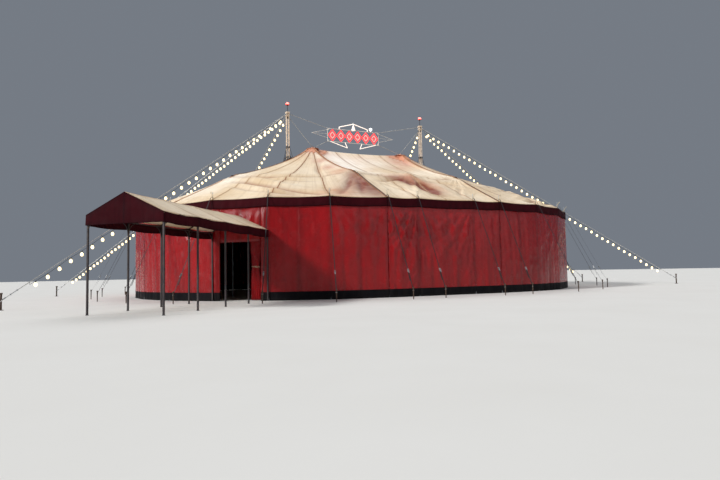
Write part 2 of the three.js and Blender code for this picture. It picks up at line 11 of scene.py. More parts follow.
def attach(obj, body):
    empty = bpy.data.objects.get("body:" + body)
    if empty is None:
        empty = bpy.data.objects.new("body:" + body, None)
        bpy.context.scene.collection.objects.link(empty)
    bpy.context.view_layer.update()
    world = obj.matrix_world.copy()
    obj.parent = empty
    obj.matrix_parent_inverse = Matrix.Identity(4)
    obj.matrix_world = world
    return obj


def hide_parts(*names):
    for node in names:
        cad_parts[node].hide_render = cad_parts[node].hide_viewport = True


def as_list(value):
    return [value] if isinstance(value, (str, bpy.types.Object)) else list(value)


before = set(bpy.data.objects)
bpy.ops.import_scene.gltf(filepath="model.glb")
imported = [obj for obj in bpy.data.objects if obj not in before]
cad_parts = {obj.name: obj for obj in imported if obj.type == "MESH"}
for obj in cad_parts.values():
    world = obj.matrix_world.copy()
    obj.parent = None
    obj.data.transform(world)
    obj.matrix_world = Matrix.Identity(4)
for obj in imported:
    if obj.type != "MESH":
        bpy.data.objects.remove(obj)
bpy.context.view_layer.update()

# Sizes shared with the solids
SHIFT = Vector((-1.3486, -1.5309, 0))
EAVE_R, EAVE_Z = 9.6, 4.2
PEAK_X, PEAK_Z, PEAK_HOLE = 2.9, 8.35, 0.32
QUARTER_R, QUARTER_Z = 6.05, 5.95
SLOPE_R, SLOPE_Z = 7.8, 5.08
EDGE_R, EDGE_Z = 9.47, 4.2636
PEAK_SAG, RIDGE_SAG = 0.26, 0.09
BAY = 15
BAY_FLAT = cos(radians(BAY / 2))
QUARTER_TURNS = (0, 60, 120, 180)
# How far the cloth falls at the ring of quarter poles and on the slope, at every bay round an end and at
# places along the straight middle
END_TURNS = range(0, 181, BAY)
QUARTER_FALLS = (0, 0.42, 0.30, 0.16, 0, 0.24, 0.32, 0.24, 0, 0.16, 0.30, 0.42, 0)
SLOPE_FALLS = (0, 0.33, 0.12, 0.05, 0, 0.10, 0.14, 0.10, 0, 0.05, 0.12, 0.33, 0)
MIDDLE_PLACES, MIDDLE_QUARTER, MIDDLE_SLOPE = (0, 1.45, 2.58, 2.9), (0, 0.18, 0.06, 0), (0, 0.09, 0.03, 0)
VALANCE, VALANCE_STEP, WALL_STEP = 0.38, 0.0608, 0.0625
ROOF_THICK, CLOTH_THICK, CURTAIN_THICK = 0.004, 0.003, 0.002
WALL_R, WALL_TOP = 9.562, 4.14
WALL_FACE = 9.568 * BAY_FLAT
POLE_R, RAIL_Z, RAIL_R = 9.5264, 4.06, 0.0138
POLE_TOP, PIN_HEAD, STRAP_OUT, CORD_R = EAVE_Z - 0.022, EAVE_Z + 0.128, 2.05, 0.006
DOOR_X, DOOR_W, DOOR_H = 1.45, 1.8, 2.4
SKIRT = 0.35
MAST_X, MAST_TOP, MAST_HALF, LUG_Z, HOIST_Z = 4.4, 10.4, 0.07, 10.33, 10.19
LUG, ROPE_R, ANCHOR_Z, BOOT_Z, MAST_HOLE = 0.19, 0.0125, 0.33, 7.6, 0.24
GUYS = {
    "left": {"front": (16.9, -7.5), "side": (16.65, 7.0), "back": (7.8, 17.0)},
    "right": {"front": (18.0, -7.2), "side": (19.6, 1.7), "back": (7.8, 17.0)},
}
LAMP_STEP = {
    "left": {"front": 0.5, "side": 0.27, "back": 0.42},
    "right": {"front": 0.38, "side": 0.36, "back": 0.42},
}
SIGN_X, SIGN_HALF, SIGN_LOW, SIGN_HIGH, DIAMOND = -0.27, 1.68, 8.9, 9.68, 0.274
CANOPY_W, CANOPY_EAVE, CANOPY_RIDGE, CANOPY_END, CANOPY_VALANCE = 2.53, 2.86, 3.47, 7.14, 0.3
DOOR_TURN = radians(37.5)
WORDS, FACES = {-1: "left", 1: "right"}, {-1: "front", 1: "back"}
UP = Vector((0, 0, 1))


# Finishes
def colour(code):
    """The linear colour of a paint or cloth named by its sRGB hex code."""
    parts = [int(code[i : i + 2], 16) / 255 for i in (1, 3, 5)]
    return [*(c / 12.92 if c <= 0.04045 else ((c + 0.055) / 1.055) ** 2.4 for c in parts), 1]


def finish(name, code, rough, metal=0.0, **more):
    """A new material with its plain settings on the shader."""
    look = bpy.data.materials.new(name)
    look.use_nodes = True
    shader = look.node_tree.nodes["Principled BSDF"]
    for socket, value in {"Base Color": colour(code), "Roughness": rough, "Metallic": metal, **more}.items():
        shader.inputs[socket].default_value = value
    return look


def node(look, kind, settings, links):
    """Adds a node with its settings and the sockets that feed it."""
    made = look.node_tree.nodes.new("ShaderNode" + kind)
    for key, value in settings.items():
        if isinstance(key, str) and hasattr(made, key):
            setattr(made, key, value)
        else:
            made.inputs[key].default_value = value
    for key, socket in links.items():
        look.node_tree.links.new(socket, made.inputs[key])
    return made


def feed(look, **sources):
    """Links sockets to the shader: base, rough, glow or normal."""
    shader = look.node_tree.nodes["Principled BSDF"]
    names = {"base": "Base Color", "rough": "Roughness", "glow": "Emission Color", "normal": "Normal"}
    for word, source in sources.items():
        look.node_tree.links.new(source, shader.inputs[names[word]])


def spread(look, source, low, high, to_low=0.0, to_high=1.0):
    """Stretches the part of a pattern between low and high to a new range."""
    settings = {"From Min": low, "From Max": high, "To Min": to_low, "To Max": to_high}
    return node(look, "MapRange", settings, {"Value": source}).outputs["Result"]


def tint(look, amount, base, code):
    """Lays a colour over another where amount is high. The first is a socket or a hex code."""
    settings, links = {"data_type": "RGBA", 7: colour(code)}, {0: amount}
    if isinstance(base, str):
        settings[6] = colour(base)
    else:
        links[6] = base
    return node(look, "Mix", settings, links).outputs[2]


def clouds(look, place, scale, detail=4.0, stretch=(1, 1, 1), kind="FBM"):
    """Uneven tone, with the pattern stretched along any axis."""
    turned = node(look, "Mapping", {"Scale": stretch}, {"Vector": place}).outputs[0]
    settings = {"noise_type": kind, "Scale": scale, "Detail": detail}
    return node(look, "TexNoise", settings, {"Vector": turned}).outputs[0]


def threads(look, place, scale, way):
    """Even bands across one way of the cloth."""
    return node(look, "TexWave", {"Scale": scale, "bands_direction": way}, {"Vector": place}).outputs[1]


def reckon(look, kind, first, second):
    """One sum on two numbers or sockets."""
    values = {0: first, 1: second}
    plain = {k: v for k, v in values.items() if isinstance(v, (int, float))}
    linked = {k: v for k, v in values.items() if k not in plain}
    return node(look, "Math", {"operation": kind, **plain}, linked).outputs[0]


def relief(look, height, depth, over=None):
    """Bumps of the given depth in metres."""
    links = {"Height": height} if over is None else {"Height": height, "Normal": over}
    return node(look, "Bump", {"Distance": depth, "Strength": 1.0}, links).outputs[0]


def object_place(look):
    return node(look, "TexCoord", {}, {}).outputs["Object"]


def cloth_place(look):
    return node(look, "UVMap", {"uv_map": "cloth"}, {}).outputs[0]


def marked(look, name):
    """A value kept in the mesh: metres to the nearest seam or hem, or the strength there of the painted
    highlight, of the rose tint with its painted red glow, or of the painted shade.
    """
    return node(look, "Attribute", {"attribute_name": name}, {}).outputs["Fac"]


def tent_cloth(name, code, rough, tape, dirt, tone, thread, crease, **more):
    """Coated tent cloth: uneven tone, painted highlights, a rose tint that is partly the cloth's own and partly
    painted red glow, painted shade, rain streaks down the fall, taped and stitched seams, soft creases and a
    weave. Real threads lie 1 mm apart, and 9 mm shows in the render."""
    look = finish(name, code, rough, **more)
    uv, around, seam = cloth_place(look), object_place(look), marked(look, "seam")
    base = tint(look, spread(look, clouds(look, around, 0.45, 6), 0.35, 0.7), code, tone)
    # Painted highlights, the rose tint with its painted red glow, and painted shade, where the roof's mesh
    # marks them
    for mark, over, scale, detail, low, least in (
        ("painted_highlight", HIGHLIGHT_WHITE, 0.9, 6, 0.3, 0.7),
        ("rose_and_glow", ROSE_AND_GLOW, 1.3, 5, 0.3, 0.55),
        ("painted_shade", SHADE_BROWN, 2.3, 6, 0.25, 0.8),
    ):
        mottle = spread(look, clouds(look, around, scale, detail), low, 0.6, least, 1)
        base = tint(look, reckon(look, "MULTIPLY", marked(look, mark), mottle), base, over)
    streaks, spots = clouds(look, uv, 1.0, 5, (5.5, 0.22, 1)), clouds(look, around, 3.1, 8)
    for dirty in ((streaks, 0.5, 0.78, 0, 0.42), (spots, 0.6, 0.85, 0, 0.4), (seam, 0.03, 0.16, 0.3, 0)):
        base = tint(look, spread(look, *dirty), base, dirt)
    taped = spread(look, seam, 0.026, 0.032, 1, 0)
    base = tint(look, reckon(look, "MULTIPLY", taped, 0.8), base, tape)
    row = reckon(look, "COMPARE", seam, 0.018)
    row.node.inputs[2].default_value = 0.0025
    stitch = reckon(look, "MULTIPLY", row, threads(look, uv, 20.0, "Y"))
    weave = reckon(look, "ADD", threads(look, uv, 35.0, "X"), threads(look, uv, 35.0, "Y"))
    folds = clouds(look, around, 1.7, 5, (1, 1, 1), "RIDGED_MULTIFRACTAL")
    bumps = relief(look, folds, crease, relief(look, weave, 0.0006))
    feed(
        look,
        base=tint(look, stitch, base, thread),
        rough=spread(look, spots, 0.3, 0.75, rough - 0.08, rough + 0.12),
        normal=relief(look, reckon(look, "ADD", taped, stitch), 0.003, bumps),
    )
    return look


def worn(name, code, rough, metal, under, scale, wear, depth=0.0006):
    """Paint or metal with an uneven tone, small chips or stains in a second colour and a slight relief."""
    look = finish(name, code, rough, metal)
    around = object_place(look)
    fine = clouds(look, around, scale, 8)
    chips = spread(look, clouds(look, around, scale * 2.3, 10), 0.62 - wear, 0.66 - wear, 0, 0.85)
    base = tint(look, spread(look, fine, 0.3, 0.75, 0, 0.35), code, under)
    feed(
        look,
        base=tint(look, chips, base, under),
        rough=spread(look, fine, 0.25, 0.8, rough - 0.1, rough + 0.15),
        normal=relief(look, reckon(look, "SUBTRACT", fine, chips), depth),
    )
    return look


def laid(name, code, dark, rough, metal, twist, strands):
    """Rope or webbing: strands that wind round and along the piece, one turn in twist metres."""
    look = finish(name, code, rough, metal)
    parts = node(look, "SeparateXYZ", {}, {"Vector": cloth_place(look)}).outputs
    around, along = reckon(look, "MULTIPLY", parts[0], strands), reckon(look, "DIVIDE", parts[1], twist)
    strand = reckon(look, "PINGPONG", reckon(look, "ADD", around, along), 0.5)
    base = tint(look, spread(look, strand, 0.0, 0.22, 0.8, 0), code, dark)
    dust = spread(look, clouds(look, object_place(look), 6.0, 6), 0.45, 0.8, 0, 0.5)
    feed(look, base=tint(look, dust, base, dark), normal=relief(look, strand, 0.002))
    return look


def glowing(name, code, light, power):
    """Coloured glass or plastic, lit from inside, brighter where the glass is thick."""
    look = finish(name, code, 0.15, **{"Emission Strength": power, "Coat Weight": 0.5})
    around = object_place(look)
    uneven = spread(look, clouds(look, around, 9.0, 3), 0.3, 0.7, 0, 0.35)
    feed(
        look,
        base=tint(look, uneven, code, light),
        glow=tint(look, uneven, light, code),
        normal=relief(look, clouds(look, around, 30.0, 2), 0.001),
    )
    return look


# Cloth: its colour and roughness, the colours of its tape, dirt, second tone and thread, its creases' depth
# Roof marks: a rose tint that is partly the cloth's own and partly painted red glow, a red-brown painted shade
# and a near-white painted highlight
ROSE_AND_GLOW, SHADE_BROWN, HIGHLIGHT_WHITE = "#B85C40", "#74240C", "#FBF3E6"
DULL = {"Specular IOR Level": 0.18}
GLOSSY = {"Specular IOR Level": 0.22, "Coat Weight": 0.2, "Coat Roughness": 0.15}
MATT = {"Specular IOR Level": 0.05}
# Coated roof canvas: a warm, chalky cream, uneven in tone and streaked by rain; on the roof it also takes
# painted highlights, painted shade and a rose tint that is partly painted red glow
CREAM = tent_cloth(
    "cream_roof_cloth", "#D7BD99", 0.55, "#A5784E", "#A48058", "#E9D8BE", "#F4ECD8", 0.03, **DULL
)
# Vinyl-coated wall cloth: deep red with a wet shine that runs along its creases
RED = tent_cloth(
    "red_wall_cloth", "#94080F", 0.24, "#7A070C", "#4E0609", "#7E080D", "#8C1418", 0.06, **GLOSSY
)
# Tarred skirt cloth: a flat black that ends the wall in a dark line
BLACK = tent_cloth(
    "black_skirt_cloth", "#0E0D10", 0.5, "#08080A", "#241F1D", "#151417", "#2A282C", 0.02, **MATT
)
# Woven valance and gable cloth: a maroon darkened to near black by painted shade, without any shine
SHADED_MAROON = tent_cloth(
    "shaded_maroon_valance_cloth", "#30060D", 0.7, "#22050A", "#180408", "#3C0912", "#4A1E28", 0.012, **MATT
)
# Doubled patch cloth: faded rose that marks where the peaks are strengthened
PATCH = tent_cloth(
    "rose_patch_cloth", "#C67E5E", 0.55, "#A0563C", "#9A5A40", "#D59A7A", "#E0B49C", 0.006, **DULL
)
# Sewn webbing and cording, 12 mm between its ribs: brown lines that draw the roof's panels
TAPE = laid("orange_hip_webbing", "#B2703A", "#74421E", 0.7, 0.0, 0.012, 1.0)
CORDING = laid("brown_seam_cording", "#96603A", "#6C4326", 0.75, 0.0, 0.012, 1.0)
PALE_CORDING = laid("tan_seam_cording", "#BC946A", "#8E6B48", 0.75, 0.0, 0.012, 1.0)
# Woven polyester strap: thin black lines with a faint rib
STRAP = laid("black_strap_webbing", "#1B1A1D", "#0B0B0D", 0.6, 0.0, 0.01, 1.0)
# Stranded steel wire, one turn in 90 mm: pale grey with a dull glint
CABLE = laid("wire_rope", "#C4C2BC", "#7A7873", 0.4, 0.5, 0.09, 6.0)
# Three-strand hemp: soft straw colour in the loops on the poles
CORD = laid("hemp_rope", "#CDBE9C", "#7F6D4C", 0.85, 0.0, 0.05, 3.0)
# Rubber flex: the black line that the lamps hang from
FLEX = laid("black_lamp_flex", "#17171A", "#0A0A0B", 0.55, 0.0, 0.05, 2.0)
# Brushed mast paint: warm cream with rust-brown chips
MAST = worn("cream_mast_paint", "#E6D3BC", 0.45, 0.0, "#A08468", 7.0, -0.02)
# Hot-dipped steel tube: mid grey with a soft metal sheen and dull patches
STEEL = worn("galvanised_tube", "#A5A8AA", 0.42, 0.95, "#74777A", 14.0, 0.02)
# Forged iron: rough, brown and dark, as stakes that stand in wet ground
FORGED = worn("forged_stake_iron", "#5B4A3E", 0.75, 0.6, "#2E2520", 24.0, 0.05, 0.0015)
# Sprayed frame paint: clean off-white tube round the sign
WHITE = worn("white_frame_paint", "#E8E5DC", 0.4, 0.1, "#A8A398", 11.0, -0.03)
# Stove enamel on posts and fittings: black with brown rubbed places
DARK = worn("black_post_paint", "#26242A", 0.45, 0.3, "#5A4A3C", 12.0, -0.02)
# Pressed brass eyelets: a small yellow glint at each pole
BRASS = worn("brass_eyelet", "#A88A4A", 0.35, 0.95, "#5F4A22", 30.0, 0.0)
# Painted peak plates: faded rose, rubbed to brown
ROSE_PAINT = worn("rose_plate_paint", "#C98A68", 0.5, 0.0, "#8A4A34", 9.0, 0.0)
# Lit glass: warm white lamps, hot red warning lamps in a red rim, red and pink tubes, a cold white spotlight
BULB = glowing("warm_lamp_glass", "#FFF3D0", "#FFE3A0", 2.3)
BEACON = glowing("hot_lamp_glass", "#FF8A80", "#FF5E52", 5.0)
RED_GLASS = glowing("red_lamp_glass", "#C8100C", "#FF0E08", 1.6)
TUBE = glowing("red_lit_tube", "#E8201C", "#FF1A12", 1.7)
PALE_TUBE = glowing("pink_lit_tube", "#FFB0A4", "#FF6656", 1.9)
WHITE_TUBE = glowing("white_lit_tube", "#FFF6EC", "#FFE8D8", 0.8)
BEAM = glowing("white_lamp_glass", "#FFFFFF", "#F4F8FF", 9.0)


# Hand work
moved = Matrix.Translation


def rise(height):
    return Vector((0, 0, height))


def on_circle(turn, radius, height=0.0):
    return Vector((radius * cos(turn), radius * sin(turn), height))


def aimed(way):
    """The turn that points +Z along a way."""
    return Vector(way).to_track_quat("Z", "Y")


def framed(along, side):
    """The turn that lays +X along a piece and +Y to its side."""
    return Matrix((along, side, along.cross(side))).transposed().to_4x4()


def rest():
    bpy.ops.object.select_all(action="DESELECT")


def take(piece):
    rest()
    piece.select_set(True)
    bpy.context.view_layer.objects.active = piece


def coat(look):
    """Gives the piece in hand its finish and puts its place into its mesh."""
    piece = bpy.context.object
    bpy.ops.object.transform_apply(location=True, rotation=True, scale=True)
    piece.data.materials.append(look)
    return piece


def rod(start, end, radius, look, sides=12):
    """A round bar, with its two end edges eased unless it is thin."""
    start, end = Vector(start), Vector(end)
    rest()
    bpy.ops.mesh.primitive_cylinder_add(
        vertices=sides,
        radius=radius,
        depth=(end - start).length,
        location=(start + end) / 2,
        rotation=aimed(end - start).to_euler(),
    )
    piece = coat(look)
    return ease(piece, radius * 0.18) if radius >= 0.012 else piece


def ease(piece, width):
    """Bevels the sharp edges of a piece."""
    edge = piece.modifiers.new("ease", "BEVEL")
    edge.width, edge.segments, edge.limit_method, edge.angle_limit = width, 1, "ANGLE", radians(60)
    take(piece)
    bpy.ops.object.modifier_apply(modifier="ease")
    return piece


def block(middle, size, look, turn=(0, 0, 0), edge=0.003):
    """A squared plate or block with eased edges."""
    rest()
    bpy.ops.mesh.primitive_cube_add(size=1, location=middle, rotation=turn, scale=size)
    return ease(coat(look), edge)


def strut(start, end, width, height, look):
    """A square tube between two points, with its height in the upright plane."""
    start, end = Vector(start), Vector(end)
    along = (end - start).normalized()
    side = UP.cross(along)
    side = side.normalized() if side.length > 0.01 else Vector((0, 1, 0))
    piece = block((0, 0, 0), ((end - start).length, width, height), look)
    piece.data.transform(moved((start + end) / 2) @ framed(along, side))
    return piece


def hoop(middle, radius, wire, look, facing=UP, sides=16):
    rest()
    bpy.ops.mesh.primitive_torus_add(
        major_radius=radius,
        minor_radius=wire,
        major_segments=sides,
        minor_segments=8,
        location=middle,
        rotation=aimed(facing).to_euler(),
    )
    return coat(look)


def drawn_out(steps, look, sides=16, at=(0, 0, 0), facing=UP):
    """A disc drawn out along (radius, height) steps, widened or narrowed at each."""
    rest()
    bpy.ops.mesh.primitive_circle_add(vertices=sides, radius=steps[0][0], fill_type="NGON")
    bpy.ops.object.mode_set(mode="EDIT")
    bpy.ops.mesh.select_all(action="SELECT")
    for (radius, height), (wider, higher) in zip(steps, steps[1:]):
        bpy.ops.mesh.extrude_region_move(TRANSFORM_OT_translate={"value": (0, 0, higher - height)})
        bpy.ops.transform.resize(value=(wider / radius, wider / radius, 1))
    bpy.ops.mesh.select_all(action="SELECT")
    bpy.ops.mesh.normals_make_consistent(inside=False)
    bpy.ops.object.mode_set(mode="OBJECT")
    piece = coat(look)
    piece.data.transform(moved(at) @ aimed(facing).to_matrix().to_4x4() @ moved(rise(steps[0][1])))
    return piece


def join(parts, angle=35):
    """Joins parts into one piece, smooth over its soft edges."""
    rest()
    for part in parts:
        part.select_set(True)
    bpy.context.view_layer.objects.active = parts[0]
    if len(parts) > 1:
        bpy.ops.object.join()
    bpy.ops.object.shade_smooth_by_angle(angle=radians(angle))
    return parts[0]


def copies(model, places):
    """One mesh with the model standing at each place. The model is used up."""
    made = bmesh.new()
    for place in places:
        part = model.data.copy()
        part.transform(place)
        made.from_mesh(part)
        bpy.data.meshes.remove(part)
    mesh = bpy.data.meshes.new(model.name)
    made.to_mesh(mesh)
    made.free()
    for look in model.data.materials:
        mesh.materials.append(look)
    bpy.data.objects.remove(model)
    return placed(mesh)


def placed(mesh):
    piece = bpy.data.objects.new(mesh.name, mesh)
    bpy.context.scene.collection.objects.link(piece)
    return piece


def bolts(steps, radius, height, turns):
    """Hexagon bolt heads round a circle."""
    places = [moved(on_circle(turn, radius, height)) for turn in np.radians(turns)]
    return copies(drawn_out(steps, FORGED, 6), places)


def settle(piece, name, slot, *nodes):
    """Names a finished piece, moves it to its place in the row and lets it ride."""
    piece.name = piece.data.name = name
    piece.data.transform(moved(SHIFT))
    if nodes:
        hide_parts(*nodes)
    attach(piece, "root")
    return piece


def mesh_piece(points, faces, cloth, look, marks=None):
    """A mesh from points, with its own UV map in metres and the values marked at its points."""
    mesh = bpy.data.meshes.new("sheet")
    mesh.from_pydata([tuple(p) for p in points], [], faces)
    mesh.materials.append(look)
    layer = mesh.uv_layers.new(name="cloth")
    for loop in mesh.loops:
        layer.data[loop.index].uv = cloth[loop.vertex_index]
    for name, values in (marks or {}).items():
        mesh.attributes.new(name, "FLOAT", "POINT").data.foreach_set("value", np.ravel(values))
    mesh.polygons.foreach_set("use_smooth", [True] * len(mesh.polygons))
    return placed(mesh)


def headings(points):
    """Each point of a path with the way ahead there and how far along the path it lies."""
    points, far = [Vector(p) for p in points], 0.0
    for i, point in enumerate(points):
        far += (point - points[i - 1]).length if i else 0
        yield point, (points[min(i + 1, len(points) - 1)] - points[max(i - 1, 0)]).normalized(), far


def skin(rings, cloth, sides, look, turned=False):
    """A mesh over rings of points, closed at both ends, with its faces turned over if asked."""
    last = len(rings) - sides
    faces = []
    for i in range(0, last, sides):
        for k in range(sides):
            after = i + (k + 1) % sides
            faces.append((i + k, after, after + sides, i + k + sides))
    faces += [tuple(range(sides - 1, -1, -1)), tuple(range(last, last + sides))]
    return mesh_piece(rings, [face[::-1] for face in faces] if turned else faces, cloth, look)


def line(points, radius, look, sides=8):
    """A rope, cable or flex along points, with closed ends and strands that follow its length."""
    rings, cloth, side = [], [], None
    for point, ahead, far in headings(points):
        if side is None:
            side = ahead.orthogonal().normalized()
        side = (side - ahead * side.dot(ahead)).normalized()
        other = ahead.cross(side)
        for k in range(sides):
            turn = tau * k / sides
            rings.append(point + radius * (cos(turn) * side + sin(turn) * other))
            cloth.append((k / sides, far))
    return skin(rings, cloth, sides, look)


def webbing(points, up, width, thick, look):
    """A flat strap along points. up is the way that its face looks, or a list with that way at each point."""
    rings, cloth = [], []
    for i, (point, ahead, far) in enumerate(headings(points)):
        side = ahead.cross(Vector(up[i] if isinstance(up, list) else up)).normalized() * width / 2
        lift = side.cross(ahead).normalized() * thick / 2
        for k, corner in enumerate((side + lift, -side + lift, -side - lift, side - lift)):
            rings.append(point + corner)
            cloth.append((k * 0.5 * width, far))
    return skin(rings, cloth, 4, look, turned=True)


def sheet(place, flat, seam, look, thick, length, flip=False, keep=None, lower=None, marks=None):
    """A sheet of cloth from grids of x, y and z, and of its place laid flat. It is cut from a piece of the
    given length, whose other side follows from its area. keep says which faces stay, lower gives a second
    finish and the faces that have it."""
    rows, cloth = (np.stack(np.broadcast_arrays(*grids), axis=-1) for grids in (place, flat))
    high, wide = rows.shape[:2]
    faces, second = [], []
    for j, i in np.ndindex(high - 1, wide - 1):
        if keep is None or keep[j, i]:
            a = j * wide + i
            face = (a, a + 1, a + wide + 1, a + wide)
            faces.append(face[::-1] if flip else face)
            second.append(1 if lower is not None and lower[1][j, i] else 0)
    marks = {"seam": seam, **(marks or {})}
    piece = mesh_piece(rows.reshape(-1, 3), faces, cloth.reshape(-1, 2), look, marks)
    if lower is not None:
        piece.data.materials.append(lower[0])
        piece.data.polygons.foreach_set("material_index", second)
    take(piece)
    bpy.ops.object.mode_set(mode="EDIT")
    bpy.ops.mesh.delete_loose()
    bpy.ops.object.mode_set(mode="OBJECT")
    piece["cut"] = (float(length), sum(p.area for p in piece.data.polygons))
    wall = piece.modifiers.new("thickness", "SOLIDIFY")
    wall.thickness, wall.offset = thick, -1
    take(piece)
    bpy.ops.object.modifier_apply(modifier="thickness")
    return piece


def dress(piece, name, slot, nodes, rests_on):
    """Settles a sheet and clears the record of the piece it was cut from."""
    settle(piece, name, slot, *nodes)
    length, area = piece["cut"]
    del piece["cut"]
    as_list(rests_on)


def least(*grids):
    """The smallest value at each place, as for the nearest of several seams."""
    return np.min(np.broadcast_arrays(*grids), axis=0)


def smooth(value, low, high):
    """A soft step from 0 to 1 between two values."""
    t = np.clip((value - low) / (high - low), 0, 1)
    return t * t * (3 - 2 * t)


# Camera at the photograph's place
CAM = Vector((-13.042, -29.558, 1.072)) + SHIFT
FOCAL, PHOTO_WIDTH, SENSOR = 536.275, 720, 36
PITCH, YAW, ROLL = radians(3.438), radians(23.856), radians(-1.123)
level = Vector((cos(YAW), -sin(YAW), 0))
ahead = Vector((sin(YAW) * cos(PITCH), cos(YAW) * cos(PITCH), sin(PITCH)))
right = cos(ROLL) * level + sin(ROLL) * level.cross(ahead)
bpy.ops.object.camera_add()
camera = bpy.context.object
camera.name = "photograph_camera"
camera.matrix_world = moved(CAM) @ Matrix((right, right.cross(ahead), -ahead)).transposed().to_4x4()
camera.data.sensor_width, camera.data.lens, camera.data.clip_end = SENSOR, FOCAL / PHOTO_WIDTH * SENSOR, 400
bpy.context.scene.camera = camera


# Roof cloth
def plan_ratio(angle):
    """How much nearer than its corners a straight eave runs, at an angle in degrees."""
    return BAY_FLAT / np.cos(np.radians((angle % BAY) - BAY / 2))


def roof_height(r, start, top, quarter_fall, slope_fall):
    """Height of the roof at a distance from the peak or ridge."""
    quarter, slope = QUARTER_Z - quarter_fall, SLOPE_Z - slope_fall
    t = np.clip((r - start) / (QUARTER_R - start), 0, 1)
    bow = t**0.75
    upper = top + (quarter - top) * t - PEAK_SAG * 4 * bow * (1 - bow)
    shoulder = quarter + (slope - quarter) * (r - QUARTER_R) / (SLOPE_R - QUARTER_R)
    lower = slope + (EDGE_Z - slope) * (r - SLOPE_R) / (EDGE_R - SLOPE_R)
    lip = EDGE_Z + (EAVE_Z - EDGE_Z) * (r - EDGE_R) / (EAVE_R - EDGE_R)
    return np.select([r <= QUARTER_R, r <= SLOPE_R, r <= EDGE_R], [upper, shoulder, lower], lip)


def end_height(r, angle):
    """Height of a round end at an angle in degrees from the entrance side."""
    falls = [np.interp(angle, END_TURNS, fall) for fall in (QUARTER_FALLS, SLOPE_FALLS)]
    return roof_height(r, PEAK_HOLE, PEAK_Z, *falls)


def drawn(x, y, at, reach, lines, depth, turn):
    """Fine folds that run out from a point where the cloth is held."""
    dx, dy = x - at[0], y - at[1]
    far = np.hypot(dx, dy)
    folds = np.sin(lines * np.arctan2(dy, dx) + turn)
    return depth * folds * far / (0.15 + far) * np.exp(-((far / reach) ** 2))


def held_points():
    """Every place on the plan where a pole holds the roof up: its point, reach, folds and depth."""
    found, edge = [], EAVE_R - 0.05
    for side in WORDS:
        foot = np.array([side * PEAK_X, 0.0])
        for turn in END_TURNS:
            out = np.array([side * sin(radians(turn)), -cos(radians(turn))])
            found.append((foot + out * edge, 0.75, 15, 0.014))
            if turn in QUARTER_TURNS:
                found.append((foot + out * QUARTER_R, 1.3, *((19, 0.02) if turn else (27, 0.03))))
        found += [(np.array([side * DOOR_X, face * edge]), 0.75, 15, 0.014) for face in (-1, 1)]
    return found + [(np.array([0.0, face * QUARTER_R]), 1.15, 21, 0.018) for face in (-1, 1)]


# Long folds of the slack cloth, as plan points with a width and a depth, which is negative for a crest. The
# other quarters of the roof repeat them.
LONG_FOLDS = [
    ([(-8.3, -4.3), (-7.7, -5.6), (-7.1, -7.0), (-6.2, -8.15), (-5.4, -8.85)], 0.27, 0.14),
    ([(-8.7, -5.0), (-8.1, -6.5), (-7.3, -7.8), (-6.4, -8.7), (-5.7, -9.1)], 0.17, 0.09),
    ([(-7.3, -5.9), (-6.6, -7.0), (-5.8, -7.7), (-4.9, -8.3)], 0.16, 0.07),
    (
        [(-8.2, -3.1), (-7.1, -4.6), (-6.3, -5.1), (-5.5, -5.35), (-4.7, -5.4), (-3.9, -5.5), (-3.1, -5.9)],
        0.26,
        0.11,
    ),
    ([(-7.5, -4.4), (-6.6, -5.6), (-5.6, -6.15), (-4.8, -6.2)], 0.16, 0.06),
    ([(-2.75, -6.15), (-2.1, -6.1), (-1.2, -5.95), (-0.3, -6.05)], 0.24, 0.12),
    ([(-2.2, -7.2), (-1.3, -6.9), (-0.5, -6.6)], 0.17, 0.07),
    ([(-0.75, -6.5), (-0.45, -7.3), (-0.1, -8.0), (0.3, -8.9)], 0.42, 0.13),
    ([(0.02, -6.1), (0.2, -7.2), (0.6, -7.95), (0.95, -8.75)], 0.13, -0.07),
    ([(-2.1, -7.6), (-1.5, -8.4), (-1.2, -9.1)], 0.12, 0.05),
    ([(-3.1, -6.35), (-3.75, -7.4), (-4.5, -8.5), (-5.0, -9.1)], 0.2, 0.06),
    ([(-3.05, -6.5), (-3.3, -7.8), (-3.8, -9.0)], 0.12, 0.035),
    ([(-3.3, -2.4), (-4.0, -4.0), (-4.3, -5.3)], 0.14, 0.04),
]
# Places on the roof for painted shade, for a rose tint that is partly painted red glow, and for painted
# highlights: a plan point, its reach and how strong it is
SHADED_PLACES = [
    ((-2.95, -6.3), 0.6, 0.55), ((-3.0, -7.2), 0.85, 0.65), ((-3.3, -8.1), 1.0, 0.6),
    ((-3.0, -9.0), 0.85, 0.6), ((-1.3, -6.25), 0.5, 0.4), ((-0.6, -6.7), 0.65, 0.55),
    ((-0.15, -7.5), 0.65, 0.6), ((0.3, -8.4), 0.55, 0.5), ((-6.8, -8.0), 0.8, 0.3),
    ((-3.1, 7.6), 0.9, 0.4), ((3.2, 7.4), 0.9, 0.4),
]
# Rose tint: round the peaks and along the hips the cloth's own rose; in the shaded panels by the front quarter
# poles a painted red glow
ROSE_AND_GLOW_PLACES = [
    ((-2.9, 0.0), 0.85, 0.8), ((2.9, 0.0), 0.95, 0.9), ((2.3, -1.4), 0.8, 0.6),
    ((1.4, -2.6), 0.6, 0.35), ((-4.2, -0.4), 0.8, 0.3), ((-3.25, -2.2), 0.45, 0.55),
    ((-3.35, -3.8), 0.5, 0.5), ((-3.3, -5.2), 0.5, 0.55), ((-4.7, -8.6), 0.8, 0.55),
    ((-0.6, -6.5), 0.7, 0.5), ((0.3, -7.4), 0.7, 0.5), ((4.2, 0.5), 0.8, 0.4),
]
